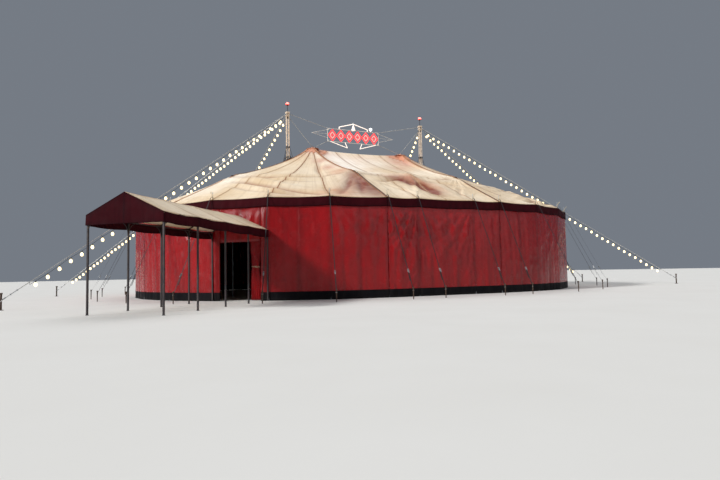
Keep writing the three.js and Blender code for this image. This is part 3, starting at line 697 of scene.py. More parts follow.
# Painted highlights: paler places where lamps light the roof most, near the ridge and on the outer ends
HIGHLIGHT_PLACES = [
    ((-2.0, -1.1), 1.1, 0.9), ((-1.2, -2.2), 1.2, 0.75), ((-2.3, -3.5), 0.9, 0.85),
    ((-1.9, -4.9), 0.9, 0.7), ((0.4, -1.2), 1.0, 0.5), ((-7.9, -0.8), 1.9, 0.7),
    ((-9.3, -3.4), 1.5, 0.7), ((3.2, -4.2), 1.2, 0.35), ((1.6, 2.4), 1.6, 0.5),
    ((7.6, 2.2), 1.9, 0.5),
]


def gathered(x, y, places):
    """How strongly a point is marked by the places round it."""
    total = np.zeros_like(x)
    for (px, py), reach, strength in places:
        total += strength * np.exp(-((x - px) ** 2 + (y - py) ** 2) / reach**2)
    return np.clip(total, 0, 1)


def fold(x, y, path, width, depth):
    """A groove with a raised lip along a path on the plan, fading at both of its ends."""
    near, where = np.full_like(x, 9.0), np.zeros_like(x)
    for i, ((ax, ay), (bx, by)) in enumerate(zip(path, path[1:])):
        along = ((x - ax) * (bx - ax) + (y - ay) * (by - ay)) / ((bx - ax) ** 2 + (by - ay) ** 2)
        along = np.clip(along, 0, 1)
        off = np.hypot(x - ax - along * (bx - ax), y - ay - along * (by - ay))
        where = np.where(off < near, (i + along) / (len(path) - 1), where)
        near = np.minimum(near, off)
    strength = np.sin(np.pi * np.clip(where, 0.03, 0.97)) ** 0.5
    return depth * strength * (0.6 * np.exp(-((near / width - 1.7) ** 2)) - np.exp(-((near / width) ** 2)))


def long_folds(x, y):
    """The long folds in all four quarters of the roof, at a strength for each."""
    total = np.zeros_like(x)
    for sx, sy, strength in ((1, 1, 1.0), (-1, 1, 0.7), (1, -1, 0.8), (-1, -1, 0.9)):
        for path, width, depth in LONG_FOLDS:
            total += fold(x * sx, y * sy, path, width, depth * strength)
    return total


def roof_marks(x, y):
    """Painted highlights, a rose tint that is partly painted red glow, and painted shade that darkens the
    grooves of the long folds and the shaded places. A shaded place ends at the seam or the crest that bounds
    its panel."""
    crest = np.interp(-y, (6.05, 7.2, 7.95, 8.75, 9.6), (0, 0.2, 0.6, 0.95, 1.2))
    beyond = (np.abs(x) < PEAK_X) & (x > crest)
    outer, inner = ([p for p in SHADED_PLACES if (abs(p[0][0]) > PEAK_X) == out] for out in (True, False))
    shaded = np.where(np.abs(x) > PEAK_X - 1e-6, gathered(x, y, outer), gathered(x, y, inner))
    # Painted shade: dark in the grooves of the long folds and over the shaded places, faint past the crest
    painted_shade = np.clip(-long_folds(x, y) / 0.1, 0, 1) * 0.7 + np.where(beyond, 0.2, 1) * shaded
    return {"rose_and_glow": gathered(x, y, ROSE_AND_GLOW_PLACES), "painted_shade": np.clip(painted_shade, 0, 1), "painted_highlight": gathered(x, y, HIGHLIGHT_PLACES)}


def ripple(x, y, r, part, bay):
    """Long folds, fine folds round the held points and slack folds just inside the eave between them."""
    total = long_folds(x, y)
    for i, (at, reach, lines, depth) in enumerate(held_points()):
        total += drawn(x, y, at, reach, lines, depth, i * 1.7)
    slack = np.sin(np.pi * part) ** 2 * np.exp(-(((r - 8.95) / 0.42) ** 2))
    wave = np.sin(2 * np.pi * r / 0.31 + 1.3 * bay + 2.2 * part) * (0.010 + 0.016 * np.sin(bay * 2.4) ** 2)
    hold = smooth(r, 0.3, 1.2) * smooth(EAVE_R - r, 0.0, 0.12)
    eave_droop = 0.035 * np.sin(np.pi * part) * smooth(r, 8.4, 9.6)
    return (total + slack * (wave - 0.015)) * hold - eave_droop


def round_end(side, radius, angle):
    """Plan place on a round end of the roof, at an angle in degrees from the entrance side."""
    return side * (PEAK_X + radius * np.sin(np.radians(angle))), -radius * np.cos(np.radians(angle))


def seam_off(angle):
    """How far an angle lies from the nearest seam, as a part of a bay."""
    return np.abs((angle / BAY + 0.5) % 1 - 0.5)


def roof_end(side):
    """The half round of the roof at one end, with a hole where the mast comes through."""
    down = [np.linspace(PEAK_HOLE, QUARTER_R, 66), np.linspace(QUARTER_R, EDGE_R, 50)[1:], [9.54, EAVE_R]]
    a, r = np.meshgrid(np.linspace(0, 180, 301), np.concatenate(down))
    x, y = round_end(side, r * plan_ratio(a), a)
    z = end_height(r, a) + ripple(x, y, r, (a / BAY) % 1, np.floor(a / BAY) + 3)
    off = np.hypot(x - side * MAST_X, y)
    scale = np.where(off < 0.3, np.maximum(MAST_HOLE, off) / np.maximum(off, 1e-6), 1)
    gone = off < MAST_HOLE + 0.001
    keep = ~(gone[:-1, :-1] & gone[1:, 1:] & gone[1:, :-1] & gone[:-1, 1:])
    x, y = side * MAST_X + (x - side * MAST_X) * scale, y * scale
    fallen = np.append(0, np.cumsum(np.hypot(np.diff(r[:, 0]), np.diff(z[:, 0]))))
    seam = least(seam_off(a) * radians(BAY) * r, np.abs(EAVE_R - r) + 0.02, np.maximum(off - MAST_HOLE, 0))
    flat, marks = (np.radians(a) * EAVE_R, fallen[:, None]), roof_marks(x, y)
    return sheet((x, y, z), flat, seam, CREAM, ROOF_THICK, 17.0, flip=side > 0, keep=keep, marks=marks)


def middle_height(x, r):
    """Height of the straight middle of the roof, and where it starts beside the peak's hole."""
    out = np.abs(x)
    start = PEAK_HOLE * smooth(out, PEAK_X - PEAK_HOLE, PEAK_X)
    falls = [np.interp(out, MIDDLE_PLACES, fall) for fall in (MIDDLE_QUARTER, MIDDLE_SLOPE)]
    return roof_height(r, start, PEAK_Z - RIDGE_SAG * (1 - (out / PEAK_X) ** 2), *falls), start


def roof_middle(face):
    """The straight roof between the two ends, on one side of the ridge."""
    part = np.concatenate([np.linspace(0, 0.63, 66), np.linspace(0.63, 1, 52)[1:]])
    x, p = np.meshgrid(np.linspace(-PEAK_X, PEAK_X, 117), part)
    start = middle_height(x, np.full_like(x, 9.0))[1]
    r = start + (EAVE_R - start) * p
    y = face * r
    bay = np.digitize(x, [-DOOR_X, DOOR_X])
    inside = np.where(bay == 1, (x + DOOR_X) / (2 * DOOR_X), (PEAK_X - np.abs(x)) / (PEAK_X - DOOR_X))
    z = middle_height(x, r)[0] + ripple(x, y, r, inside, bay + 1)
    seam = least(*[np.abs(x - at) for at in (-PEAK_X, -DOOR_X, 0, DOOR_X, PEAK_X)], np.abs(EAVE_R - r) + 0.02)
    marks = roof_marks(x, y)
    return sheet((x, y, z), (x, 1.08 * r), seam, CREAM, ROOF_THICK, 10.2, flip=face < 0, marks=marks)


def line_on_roof(side, angle, radii, lift):
    """Points up on the roof along one of its radial lines."""
    r = np.array(radii)
    x, y = round_end(side, r, angle)
    z = end_height(r, angle) + ripple(x, y, r, 0 * r, angle / BAY + 3) + lift
    return [tuple(map(float, point)) for point in zip(x, y, z)]


def seam_webbing(side):
    """Wide webbing sewn down the lines that the quarter poles hold, and cording on the seams between."""
    parts = []
    radii = np.concatenate([np.linspace(0.4, QUARTER_R, 30), np.linspace(QUARTER_R, 9.57, 24)[1:]])
    for angle in END_TURNS:
        width, look = (0.13, TAPE) if angle in QUARTER_TURNS else (0.02, PALE_CORDING)
        if angle in (15, 30, 150, 165):
            width, look = 0.035, CORDING
        parts.append(webbing(line_on_roof(side, angle, radii, 0.006), UP, width, 0.004, look))
    return join(parts)


def peak_patch(side):
    """Reinforcement round a peak, with a soft point on every seam."""
    a, p = np.meshgrid(np.linspace(0, 360, 241), np.linspace(0, 1, 12))
    point = seam_off(a) * 2
    reach = PEAK_HOLE + 0.02 + p * (0.34 + 0.22 * (1 - point) ** 1.5 + 0.12 * np.cos(np.radians(a) * 2) ** 2)
    x, y = round_end(side, reach, a)
    end = end_height(reach, np.where(a > 180, 360 - a, a))
    z = np.where(np.abs(x) >= PEAK_X, end, middle_height(x, np.abs(y))[0]) + 0.011
    seam = least(1 - p, p) * 0.8
    return sheet((x, y, z), (np.radians(a), reach), seam, PATCH, CLOTH_THICK, 2.6, flip=side > 0)


def eave_corner(side, angle, radius=EAVE_R, z=EAVE_Z):
    return (*map(float, round_end(side, radius, angle)), z)


def middle_corners(face, radius=EAVE_R, z=EAVE_Z):
    """Corner points along the straight middle, clockwise seen from above."""
    return [(x, face * radius, z) for x in (-PEAK_X, -DOOR_X, DOOR_X, PEAK_X)][::-face]


def hung_columns(corners, step):
    """Columns of points for cloth that hangs along corner points. Gives each one's bay, place, way out,
    distance in its bay, the bay's length and the distance along the whole cloth."""
    total = 0.0
    for bay, (start, end) in enumerate(zip(np.array(corners), np.array(corners[1:]))):
        run, length = end - start, dist(start, end)
        n = max(6, round(length / step))
        for k in range(n + (bay == len(corners) - 2)):
            s = length * k / n
            yield bay, start + run * k / n, (run[1] / length, -run[0] / length, 0), s, length, total + s
        total += length


def valance(corners, drop=VALANCE):
    """A pleated strip that hangs from an eave along its corner points."""
    rows, far, marks, down = [], [], [], np.linspace(0, 1, 9)
    for _, spot, out, s, length, along in hung_columns(corners, VALANCE_STEP):
        part = s / length
        wave = 0.012 + 0.012 * sin(along * 7.3) + 0.007 * np.sin(along * 17.1 + 2 * down)
        lean = (wave * down**0.7 + 0.004) * min(1, 12 * part * (1 - part) + 0.35)
        sink = drop * down + 0.035 * sin(pi * part) + 0.002
        rows.append(spot + np.outer(lean, out) - np.outer(sink, UP))
        far.append(along)
        marks.append(min(s, length - s))
    s, d = np.meshgrid(far, drop * down)
    seam = least(marks, d + 0.03, np.abs(drop - d))
    return sheet(np.array(rows).T, (s, d), seam, SHADED_MAROON, CLOTH_THICK, far[-1], flip=True)


for side, word in WORDS.items():
    cloth, roof, held_by = roof_end(side), f"roof_cloth_{word}", [f"poles_{word}_side", f"quarter_poles_{word}"]
    seams = settle(seam_webbing(side), f"seam_webbing_{word}", "canvas_cream")
    dress(cloth, roof, "canvas_cream", [f"roof_{word}_end"], held_by)
    dress(peak_patch(side), f"peak_patch_{word}", "canvas_red", [], [roof])
    for part, first in (("front", 0), ("back", 90)):
        strip = valance([eave_corner(side, a) for a in range(first, first + 91, BAY)][::side])
        dress(strip, f"valance_{word}_{part}", "canvas_maroon", [], [roof])
for face, word in FACES.items():
    roof, held_by = f"roof_cloth_{word}", [f"poles_middle_{word}"]
    dress(roof_middle(face), roof, "canvas_cream", [f"roof_middle_{word}"], held_by)
    dress(valance(middle_corners(face)), f"valance_{word}", "canvas_maroon", [], [roof])


# Walls
def wall_swell(s, length, z, seed, crumple):
    """How far the wall cloth stands out from its flat place at a distance along a bay."""
    held = sin(pi * min(max(s / length, 0), 1)) ** 0.6
    hung = WALL_TOP - z
    below = smooth(hung, 0.4, 0.9)
    belly = 0.012 + 0.03 * np.sin(np.pi * np.clip(z / WALL_TOP, 0, 1))
    folds = 0.012 * sin(tau * (s / 0.71 + seed)) + 0.007 * np.sin(tau * (s / 0.33 + 0.12 * z + 2 * seed))
    total = held * (belly * below + 0.005 + folds * (0.25 + 0.75 * below))
    for edge in (s, length - s):
        far, ray = np.hypot(edge, hung), np.arctan2(edge, hung + 0.05)
        fan = np.sin(19 * ray + 6 * seed) + 0.6 * np.sin(43 * ray + 1.9 * np.sin(2.6 * z) + 3 * seed)
        total += crumple * fan * below * smooth(edge, 0, 0.25) * np.exp(-((far / 3.2) ** 2))
        creases = np.abs(np.sin(9 * edge + 3.1 * np.sin(2.3 * z + seed)))
        total += crumple * 0.8 * creases * below * smooth(edge, 0, 0.2) * np.exp(-((edge / 0.8) ** 2))
    return np.maximum(total, -0.002)


def wall(corners, low, rough, seed):
    """Wall cloth hung along plan points that run clockwise seen from above, with the black skirt at its foot.
    rough says how much each bay is crumpled."""
    z, skirt = np.linspace(low, WALL_TOP, 18), None
    if low < SKIRT:
        z = np.concatenate([np.linspace(low, SKIRT, 6)[:-1], np.linspace(SKIRT, WALL_TOP, 40)])
    rows, along, seams = [], [], []
    for bay, spot, out, s, length, far in hung_columns(corners, WALL_STEP):
        swell = wall_swell(s, length, z, seed + 0.37 * bay, rough.get(bay, 0.006))
        rows.append(spot + np.outer(swell, out) + np.outer(z, UP))
        along.append(far)
        seams.append(min(s, length - s, abs(s - length / 2)))
    s, h = np.meshgrid(along, z)
    if low < SKIRT:
        skirt = (BLACK, h[:-1, :-1] < SKIRT - 0.001)
    seam = least(seams, h - low + 0.01, WALL_TOP - h + 0.01)
    return sheet(np.array(rows).T, (s, h), seam, RED, CLOTH_THICK, along[-1], lower=skirt)


def wall_corner(side, angle):
    return eave_corner(side, angle, WALL_R, 0)


def toward(start, end, distance):
    """The place at a distance from start on the way to end."""
    start, end = np.array(start), np.array(end)
    return tuple(start + (end - start) / np.linalg.norm(end - start) * distance)


def hang(name, corners, rests, rough, low=0.0):
    """Hangs a stretch of wall, with creases of its own, from a group of poles."""
    piece = wall(corners, low, rough, len(name) * 0.61)
    dress(piece, f"{name}_cloth", "canvas_red", [name], [f"poles_{rests}"])


left = {a: wall_corner(-1, a) for a in END_TURNS}
jamb = (dist(left[30], left[45]) - DOOR_W) / 2
door_near, door_far = toward(left[30], left[45], jamb), toward(left[45], left[30], jamb)
hang("wall_left_front", [door_near, left[30], left[15], left[0]], "left_front", {2: 0.012})
hang("wall_over_doorway", [door_far, door_near], "left_front", {}, DOOR_H)
hang("wall_left_side", [left[75], left[60], left[45], door_far], "left_side", {0: 0.012, 1: 0.014})
hang("wall_left_end", [left[a] for a in (120, 105, 90, 75)], "left_side", {2: 0.012})
hang("wall_left_back", [left[a] for a in (180, 165, 150, 135, 120)], "left_back", {3: 0.012})
for word, first in (("front", 0), ("side", 60), ("back", 120)):
    corners = [wall_corner(1, a) for a in range(first, first + 61, BAY)]
    hang(f"wall_right_{word}", corners, f"right_{word}", {1: 0.011})
for face, word in FACES.items():
    hang(f"wall_middle_{word}", middle_corners(face, WALL_R, 0), f"middle_{word}", {0: 0.034, 1: 0.026})


# Side poles with their straps, rope loops and stakes
def pole_place(side, angle):
    """Where a side pole stands at a round end, and which way is out of the tent there."""
    a = radians(angle)
    return eave_corner(side, angle, POLE_R)[:2], atan2(-cos(a), side * sin(a))


def straight_place(x, face):
    return (x, face * (POLE_R + 0.0015)), face * pi / 2


def side_pole():
    """A side pole at the origin, with the way out of the tent along +X."""
    coil = [on_circle(t, 0.021, EAVE_Z + 0.075 + 0.0026 * t) for t in np.linspace(0, 19, 40)]
    turns = np.linspace(0, 6.2, 26)
    loop = [(0.021 + 0.06 * (1 - cos(t)), 0.035 * sin(t), EAVE_Z + 0.12 + 0.2 * sin(t / 2)) for t in turns]
    pin = [(0.031, 0), (0.026, 0.012), (0.0105, 0.022), (0.01, 0.33), (0.006, 0.345)]
    return join([
        drawn_out([(0.07, 0), (0.07, 0.006), (0.038, 0.012), (0.036, 0.11), (0.0305, 0.116)], STEEL),
        rod(rise(0.05), rise(POLE_TOP), 0.03, STEEL, 16),
        drawn_out(pin, STEEL, 12, rise(POLE_TOP - 0.003)),
        *[hoop(rise(z), 0.031, 0.006, STEEL) for z in (2.35, 0.42)],
        hoop(rise(EAVE_Z + 0.046), 0.026, 0.005, BRASS, (0.44, 0, 0.9)),
        *[line(path, CORD_R, CORD, 6) for path in (coil, loop)],
    ])


def strap(splay):
    """The strap from a pole's pin over the eave to its stake, with a ratchet a reach above the ground."""
    lip, low = Vector((0.122, 0, EAVE_Z + 0.072)), Vector((STRAP_OUT, 0, ANCHOR_Z))
    fall = low - lip
    face = Vector((-fall.z, 0, fall.x)).normalized()
    at = lip + fall * 0.79
    path = [(-0.012, 0, PIN_HEAD), (0.03, 0, PIN_HEAD)]
    path += [lip + fall * t for t in (0, 0.1, 0.3, 0.5, 0.7, 0.78)]
    stake = [(0.017, 0), (0.02, 0.05), (0.024, 0.43), (0.036, 0.445), (0.037, 0.468), (0.02, 0.48)]
    tail = [at, at + fall * 0.03 - face * 0.03, at + fall * 0.11 - face * 0.045]
    ratchet = [block((0, s * 0.024, 0), (0.13, 0.004, 0.05), STEEL) for s in (-1, 1)]
    ratchet += [rod((x, -0.026, 0), (x, 0.026, 0), 0.009, STEEL) for x in (-0.05, 0.0, 0.05)]
    ratchet.append(block((0.07, 0, 0.028), (0.11, 0.04, 0.005), STEEL, (0, -0.3, 0)))
    for part in ratchet:
        part.data.transform(moved(at + fall * 0.012) @ framed(fall.normalized(), Vector((0, 1, 0))))
    piece = join([
        webbing(path, [UP, UP, *[face] * 6], 0.035, 0.004, STRAP),
        webbing([at + fall * 0.03, low + rise(0.03)], face, 0.035, 0.004, STRAP),
        webbing(tail, face, 0.035, 0.003, STRAP),
        hoop(rise(PIN_HEAD), 0.016, 0.004, STEEL),
        drawn_out(stake, FORGED, 12, (STRAP_OUT, 0, 0)),
        hoop((STRAP_OUT, 0, ANCHOR_Z + 0.015), 0.031, 0.005, STEEL),
        *ratchet,
    ])
    piece.data.transform(Matrix.Rotation(radians(splay), 4, "Z"))
    return piece


def pole_row(name, places, after, splays):
    """A run of side poles with the rail that the wall hangs from, up to the pole after it. splays turns
    single straps aside, in degrees."""
    stands = [moved((*at, 0)) @ Matrix.Rotation(turn, 4, "Z") for at, turn in places]
    parts = [copies(side_pole(), stands)]
    parts += [copies(strap(splays.get(i, 0)), [stand]) for i, stand in enumerate(stands)]
    run = [at for at, _ in places] + [toward(after[0], places[-1][0], 0.031)]
    for start, end in zip(run, run[1:]):
        parts += [
            rod((*start, RAIL_Z), (*end, RAIL_Z), RAIL_R, STEEL),
            hoop((*toward(start, end, 0.05), RAIL_Z), 0.016, 0.005, STEEL, (*(np.array(end) - start), 0)),
        ]
    settle(join(parts), f"poles_{name}_set", "pole_steel", f"poles_{name}")


def ring(side, first, last):
    """Side poles round an end, from one angle to another."""
    way = BAY if last > first else -BAY
    return [pole_place(side, a) for a in range(first, last + way, way)]


for row in (
    ("left_front", ring(-1, 0, 30), pole_place(-1, 45), {2: 9}),
    ("left_side", ring(-1, 45, 90), pole_place(-1, 105), {0: -9}),
    ("left_back", ring(-1, 105, 180), straight_place(-DOOR_X, 1), {}),
    ("middle_back", [straight_place(s * DOOR_X, 1) for s in (-1, 1)], pole_place(1, 180), {}),
    ("right_back", ring(1, 180, 120), pole_place(1, 105), {}),
    ("right_side", ring(1, 105, 60), pole_place(1, 45), {}),
    ("right_front", ring(1, 45, 0), straight_place(DOOR_X, -1), {}),
    ("middle_front", [straight_place(s * DOOR_X, -1) for s in (1, -1)], pole_place(-1, 0), {}),
):
    pole_row(*row)

# Quarter poles, the webbing between their heads and the caps over the roof
SOCKET_Z, BELT_Z = 2.9, QUARTER_Z - 0.33


def quarter_pole():
    """A telescopic pole on a bolted foot, at the origin."""
    head = QUARTER_Z - 0.12  # the neck above it carries the cap
    neck = [(0.046, 0), (0.046, 0.05), (0.013, 0.075), (0.012, 0.108), (0.009, 0.128)]
    return join([
        drawn_out([(0.15, 0), (0.15, 0.012), (0.056, 0.018), (0.052, 0.16), (0.045, 0.17)], STEEL, 24),
        rod(rise(0.1), rise(SOCKET_Z), 0.044, STEEL, 20),
        drawn_out([(0.051, 0), (0.051, 0.16), (0.044, 0.18)], STEEL, 20, rise(SOCKET_Z - 0.08)),
        rod(rise(SOCKET_Z), rise(head), 0.04, STEEL, 20),
        rod((-0.075, 0, SOCKET_Z), (0.075, 0, SOCKET_Z), 0.008, FORGED, 10),
        drawn_out(neck, STEEL, 16, rise(head - 0.035)),
        hoop(rise(BELT_Z), 0.047, 0.007, STEEL),
        bolts([(0.012, 0), (0.012, 0.008), (0.009, 0.012)], 0.11, 0.012, (45, 135, 225, 315)),
    ])


for word, places in (
    ("left", [(0.0, -QUARTER_R), *[eave_corner(-1, a, QUARTER_R)[:2] for a in QUARTER_TURNS]]),
    ("right", [*[eave_corner(1, a, QUARTER_R)[:2] for a in QUARTER_TURNS], (0.0, QUARTER_R)]),
):
    name = f"quarter_poles_{word}"
    parts = [copies(quarter_pole(), [moved((*at, 0)) for at in places])]
    for start, end in zip(places, places[1:]):
        near, far = toward(start, end, 0.045), toward(end, start, 0.045)
        middle = (np.array(near) + far) / 2
        path = [(*near, BELT_Z), (*middle, BELT_Z - 0.02), (*far, BELT_Z)]
        parts.append(webbing(path, UP, 0.05, 0.004, STRAP))
    settle(join(parts), f"{name}_set", "pole_steel", name)
    cap = drawn_out([(0.085, 0), (0.085, 0.006), (0.05, 0.012), (0.034, 0.03), (0.012, 0.038)], FORGED, 20)
    caps = copies(cap, [moved((*at, QUARTER_Z - 0.004)) for at in places])
    settle(join([caps]), f"{name}_caps", "pole_steel")
# Black webbing with a buckle down each hip from the quarter pole to the eave: partly a real strap, partly a
# painted shadow line along the hip
for side, word in WORDS.items():
    for face, angle in (("front", 0), ("back", 180)):
        path = line_on_roof(side, angle, np.linspace(QUARTER_R + 0.08, 9.5, 14), 0.012)
        buckle = line_on_roof(side, angle, [QUARTER_R + 0.35], 0.02)[0]
        belt = [webbing(path, UP, 0.06, 0.005, STRAP), block(buckle, (0.09, 0.07, 0.012), STEEL)]
        settle(join(belt), f"hip_strap_{word}_{face}", "pole_steel")

# Masts
CHORD_TURNS, CHORD_R = [radians(45 + 90 * k) for k in range(4)], MAST_HALF * sqrt(2)
MAST_BAYS, MAST_FOOT, BRACE_R = 20, 0.1, 0.008
STAY_Z = PEAK_Z + 0.06


def stood(parts, x):
    """Joins parts that are drawn at the origin and moves them along the ridge."""
    piece = join(parts)
    piece.data.transform(moved((x, 0, 0)))
    return piece


def mast_bay(step):
    """Bracing of one bay of the lattice between its four chords."""
    parts = []
    for turn in CHORD_TURNS:
        near, far = on_circle(turn, CHORD_R), on_circle(turn + pi / 2, CHORD_R)
        parts += [
            rod(near + rise(0.03), far + rise(step / 2 - 0.03), BRACE_R, MAST, 8),
            rod(far + rise(step / 2 + 0.02), near + rise(step - 0.03), BRACE_R, MAST, 8),
            rod(near, far, BRACE_R, MAST, 8),
        ]
    return join(parts)


def sheave(at):
    """A pulley wheel on its pin."""
    at, across = Vector(at), Vector((0, 1, 0))
    wheel = [(0.05, 0), (0.055, 0.004), (0.042, 0.01), (0.042, 0.016), (0.055, 0.022), (0.05, 0.026)]
    pin = rod(at - across * 0.035, at + across * 0.035, 0.009, STEEL, 10)
    return [drawn_out(wheel, FORGED, 20, at - across * 0.013, across), pin]


def lug_eye(start, way, length):
    """A lug that points along its rope and ends in a ring."""
    tip = start + way * (length - 0.022)
    return [rod(start + way * 0.09, tip, 0.014, STEEL, 10), hoop(tip, 0.022, 0.007, STEEL, way.cross(UP))]


def sleeve(start, way):
    """The thimble and pressed sleeve at the end of a wire rope."""
    steps = [(ROPE_R, 0), (0.02, 0.012), (0.022, 0.05), (0.018, 0.13), (ROPE_R, 0.15)]
    thimble = hoop(start + way * 0.02, 0.02, 0.006, STEEL, way.cross(UP))
    return [thimble, drawn_out(steps, STEEL, 12, start + way * 0.04, way)]


def turnbuckle(start, way):
    """A rigging screw along a rope."""
    side = way.cross(UP).normalized() * 0.021
    cap = [(0.02, 0), (0.03, 0.008), (0.03, 0.026), (0.02, 0.034)]
    parts = [rod(start + s * side, start + s * side + way * 0.26, 0.007, STEEL, 8) for s in (-1, 1)]
    parts += [drawn_out(cap, STEEL, 10, start + way * (t - 0.017), way) for t in (0.0, 0.26)]
    return parts + [rod(start + way * t, start + way * (t + 0.16), 0.01, FORGED, 8) for t in (-0.06, 0.16)]


def mast(side):
    """A lattice mast with its plates and pulleys, the boot over the roof's hole and a lug for every rope."""
    step = (MAST_TOP - 2 * MAST_FOOT) / MAST_BAYS
    collar = [(0.03, 0), (0.03, 0.02), (0.024, 0.022), (0.024, 0.06), (0.03, 0.062), (0.03, 0.08)]
    bolt = [(0.022, 0), (0.022, 0.02), (0.014, 0.024), (0.012, 0.045)]
    parts = [copies(mast_bay(step), [moved(rise(MAST_FOOT + step * n)) for n in range(MAST_BAYS)])]
    for turn in CHORD_TURNS:
        x, y, _ = on_circle(turn, CHORD_R)
        foot = Vector((3.1 * x, 3.1 * y, BOOT_Z - 0.1 if x * side > 0 else BOOT_Z + 0.125))
        parts += [
            rod((x, y, 0.02), (x, y, MAST_TOP - 0.02), 0.018, MAST, 14),
            *[drawn_out(collar, MAST, 14, (x, y, z)) for z in (3.4, 6.8)],
            rod((x, y, PEAK_Z), foot, 0.014, DARK, 10),
            hoop(foot + rise(0.012), 0.028, 0.007, STEEL, (0, 1, 0)),
            block((x, y, PEAK_Z - 0.01), (0.05, 0.05, 0.12), DARK),
            block((1.6 * x, 1.6 * y, 0.075), (0.09, 0.012, 0.1), MAST, (0, 0, turn)),
            drawn_out(bolt, FORGED, 6, (3.3 * x, 3.3 * y, 0.025)),
        ]
    slope = Vector((side * 0.457, 0, 0.89))
    for radius, wire, lift in ((0.255, 0.022, 0.012), (0.2, 0.014, 0.05), (0.13, 0.012, 0.17)):
        parts.append(hoop(rise(BOOT_Z - 0.01) + slope * lift, radius, wire, DARK, slope, 28))
    for turn in (tau * k / 12 for k in range(12)):
        low, high = on_circle(turn, 0.25, BOOT_Z), on_circle(turn, 0.12, BOOT_Z + 0.22)
        low.z -= low.x * side * 0.51
        parts.append(line([low, high], 0.009, STRAP, 6))
    parts += [
        block(rise(0.0125), (0.6, 0.6, 0.025), MAST, edge=0.006),
        block(rise(0.06), (0.2, 0.2, 0.07), MAST, edge=0.006),
        block(rise(MAST_TOP - 0.02), (0.23, 0.23, 0.04), MAST, edge=0.006),
        block(rise(MAST_TOP - 0.27), (0.17, 0.17, 0.012), MAST),
    ]
    for z in (LUG_Z, HOIST_Z):
        for s in (-1, 1):
            parts.append(block((s * 0.096, 0, z), (0.01, 0.2, 0.06), MAST))
            parts.append(block((0, s * 0.096, z), (0.18, 0.01, 0.06), MAST))
    parts += sheave((0, 0, HOIST_Z - 0.12)) + sheave((0.06, 0, LUG_Z - 0.12))
    ropes = [(LUG_Z, (side * (x - MAST_X), y, ANCHOR_Z)) for x, y in GUYS[WORDS[side]].values()]
    ropes.append((LUG_Z, (SIGN_X + side * (SIGN_HALF - MAST_X), 0, SIGN_HIGH)))
    ropes.append((HOIST_Z, (side * (PEAK_X - MAST_X), 0, PEAK_Z + 0.075)))
    for z, end in ropes:
        parts += lug_eye(rise(z), (Vector(end) - rise(z)).normalized(), LUG)
    return stood(parts, side * MAST_X)


def lamp_bulb():
    """A round festoon lamp that hangs below the origin, with its holder."""
    glass = [(0.014, 0), (0.022, -0.012), (0.05, -0.045), (0.062, -0.085), (0.057, -0.125), (0.034, -0.155)]
    holder = [(0.01, 0.05), (0.02, 0.04), (0.022, 0.0), (0.018, -0.01)]
    return join([drawn_out(holder, FLEX, 8), drawn_out([*glass, (0.004, -0.165)], BULB, 10)], 60)


def guy(side, where):
    """A guy from the mast head to its anchor, with a string of lamps slung under it."""
    word = WORDS[side]
    x, y = GUYS[word][where]
    head, anchor = Vector((side * MAST_X, 0, LUG_Z)), Vector((side * x, y, ANCHOR_Z))
    way, out = (anchor - head).normalized(), Vector((side * (x - MAST_X), y, 0)).normalized()
    start, length = head + way * LUG, (anchor - head).length - LUG
    end, foot = start + way * (length - 0.62), (anchor.x, anchor.y, 0)
    post = [(0.026, 0), (0.034, 0.03), (0.034, 0.54), (0.052, 0.56), (0.054, 0.585), (0.03, 0.6)]
    parts = [line([start + way * 0.03, end + way * 0.02], ROPE_R, CABLE)]
    parts += sleeve(start, way) + turnbuckle(end, way) + sleeve(anchor - way * 0.02, -way)
    parts += [
        line([end + way * 0.3, anchor - way * 0.16], ROPE_R, CABLE),
        drawn_out(post, FORGED, 16, foot),
        hoop(anchor, 0.046, 0.009, STEEL, (out.x, out.y, 0.6)),
        drawn_out([(0.09, 0), (0.09, 0.01), (0.04, 0.016)], FORGED, 16, foot),
    ]
    settle(join(parts), f"guy_{word}_{where}", "rope_steel", f"mast_guy_{word}_{where}")
    first, ties = 0.25, 10
    lit = length - 1.1 - first
    steps = 2 * int(lit / LAMP_STEP[word][where])
    run, bulbs = [], []
    for i in range(steps + 1):
        slack = abs(sin(pi * ties * i / steps))
        run.append(start + way * (first + lit * i / steps) - rise(0.09 + 0.035 * slack))
        if i % 2:
            bulbs.append(moved(run[-1] - rise(0.045)))
    string = [line(run, 0.007, FLEX, 6), copies(lamp_bulb(), bulbs)]
    for n in range(ties + 1):
        held = start + way * (first + lit * n / ties)
        string.append(hoop(held - rise(0.008), 0.018, 0.004, STRAP, way, 10))
        string.append(line([held - rise(0.02), held - rise(0.092)], 0.004, STRAP, 6))
    settle(join(string, 60), f"lamp_string_{word}_{where}", "lamp_red")


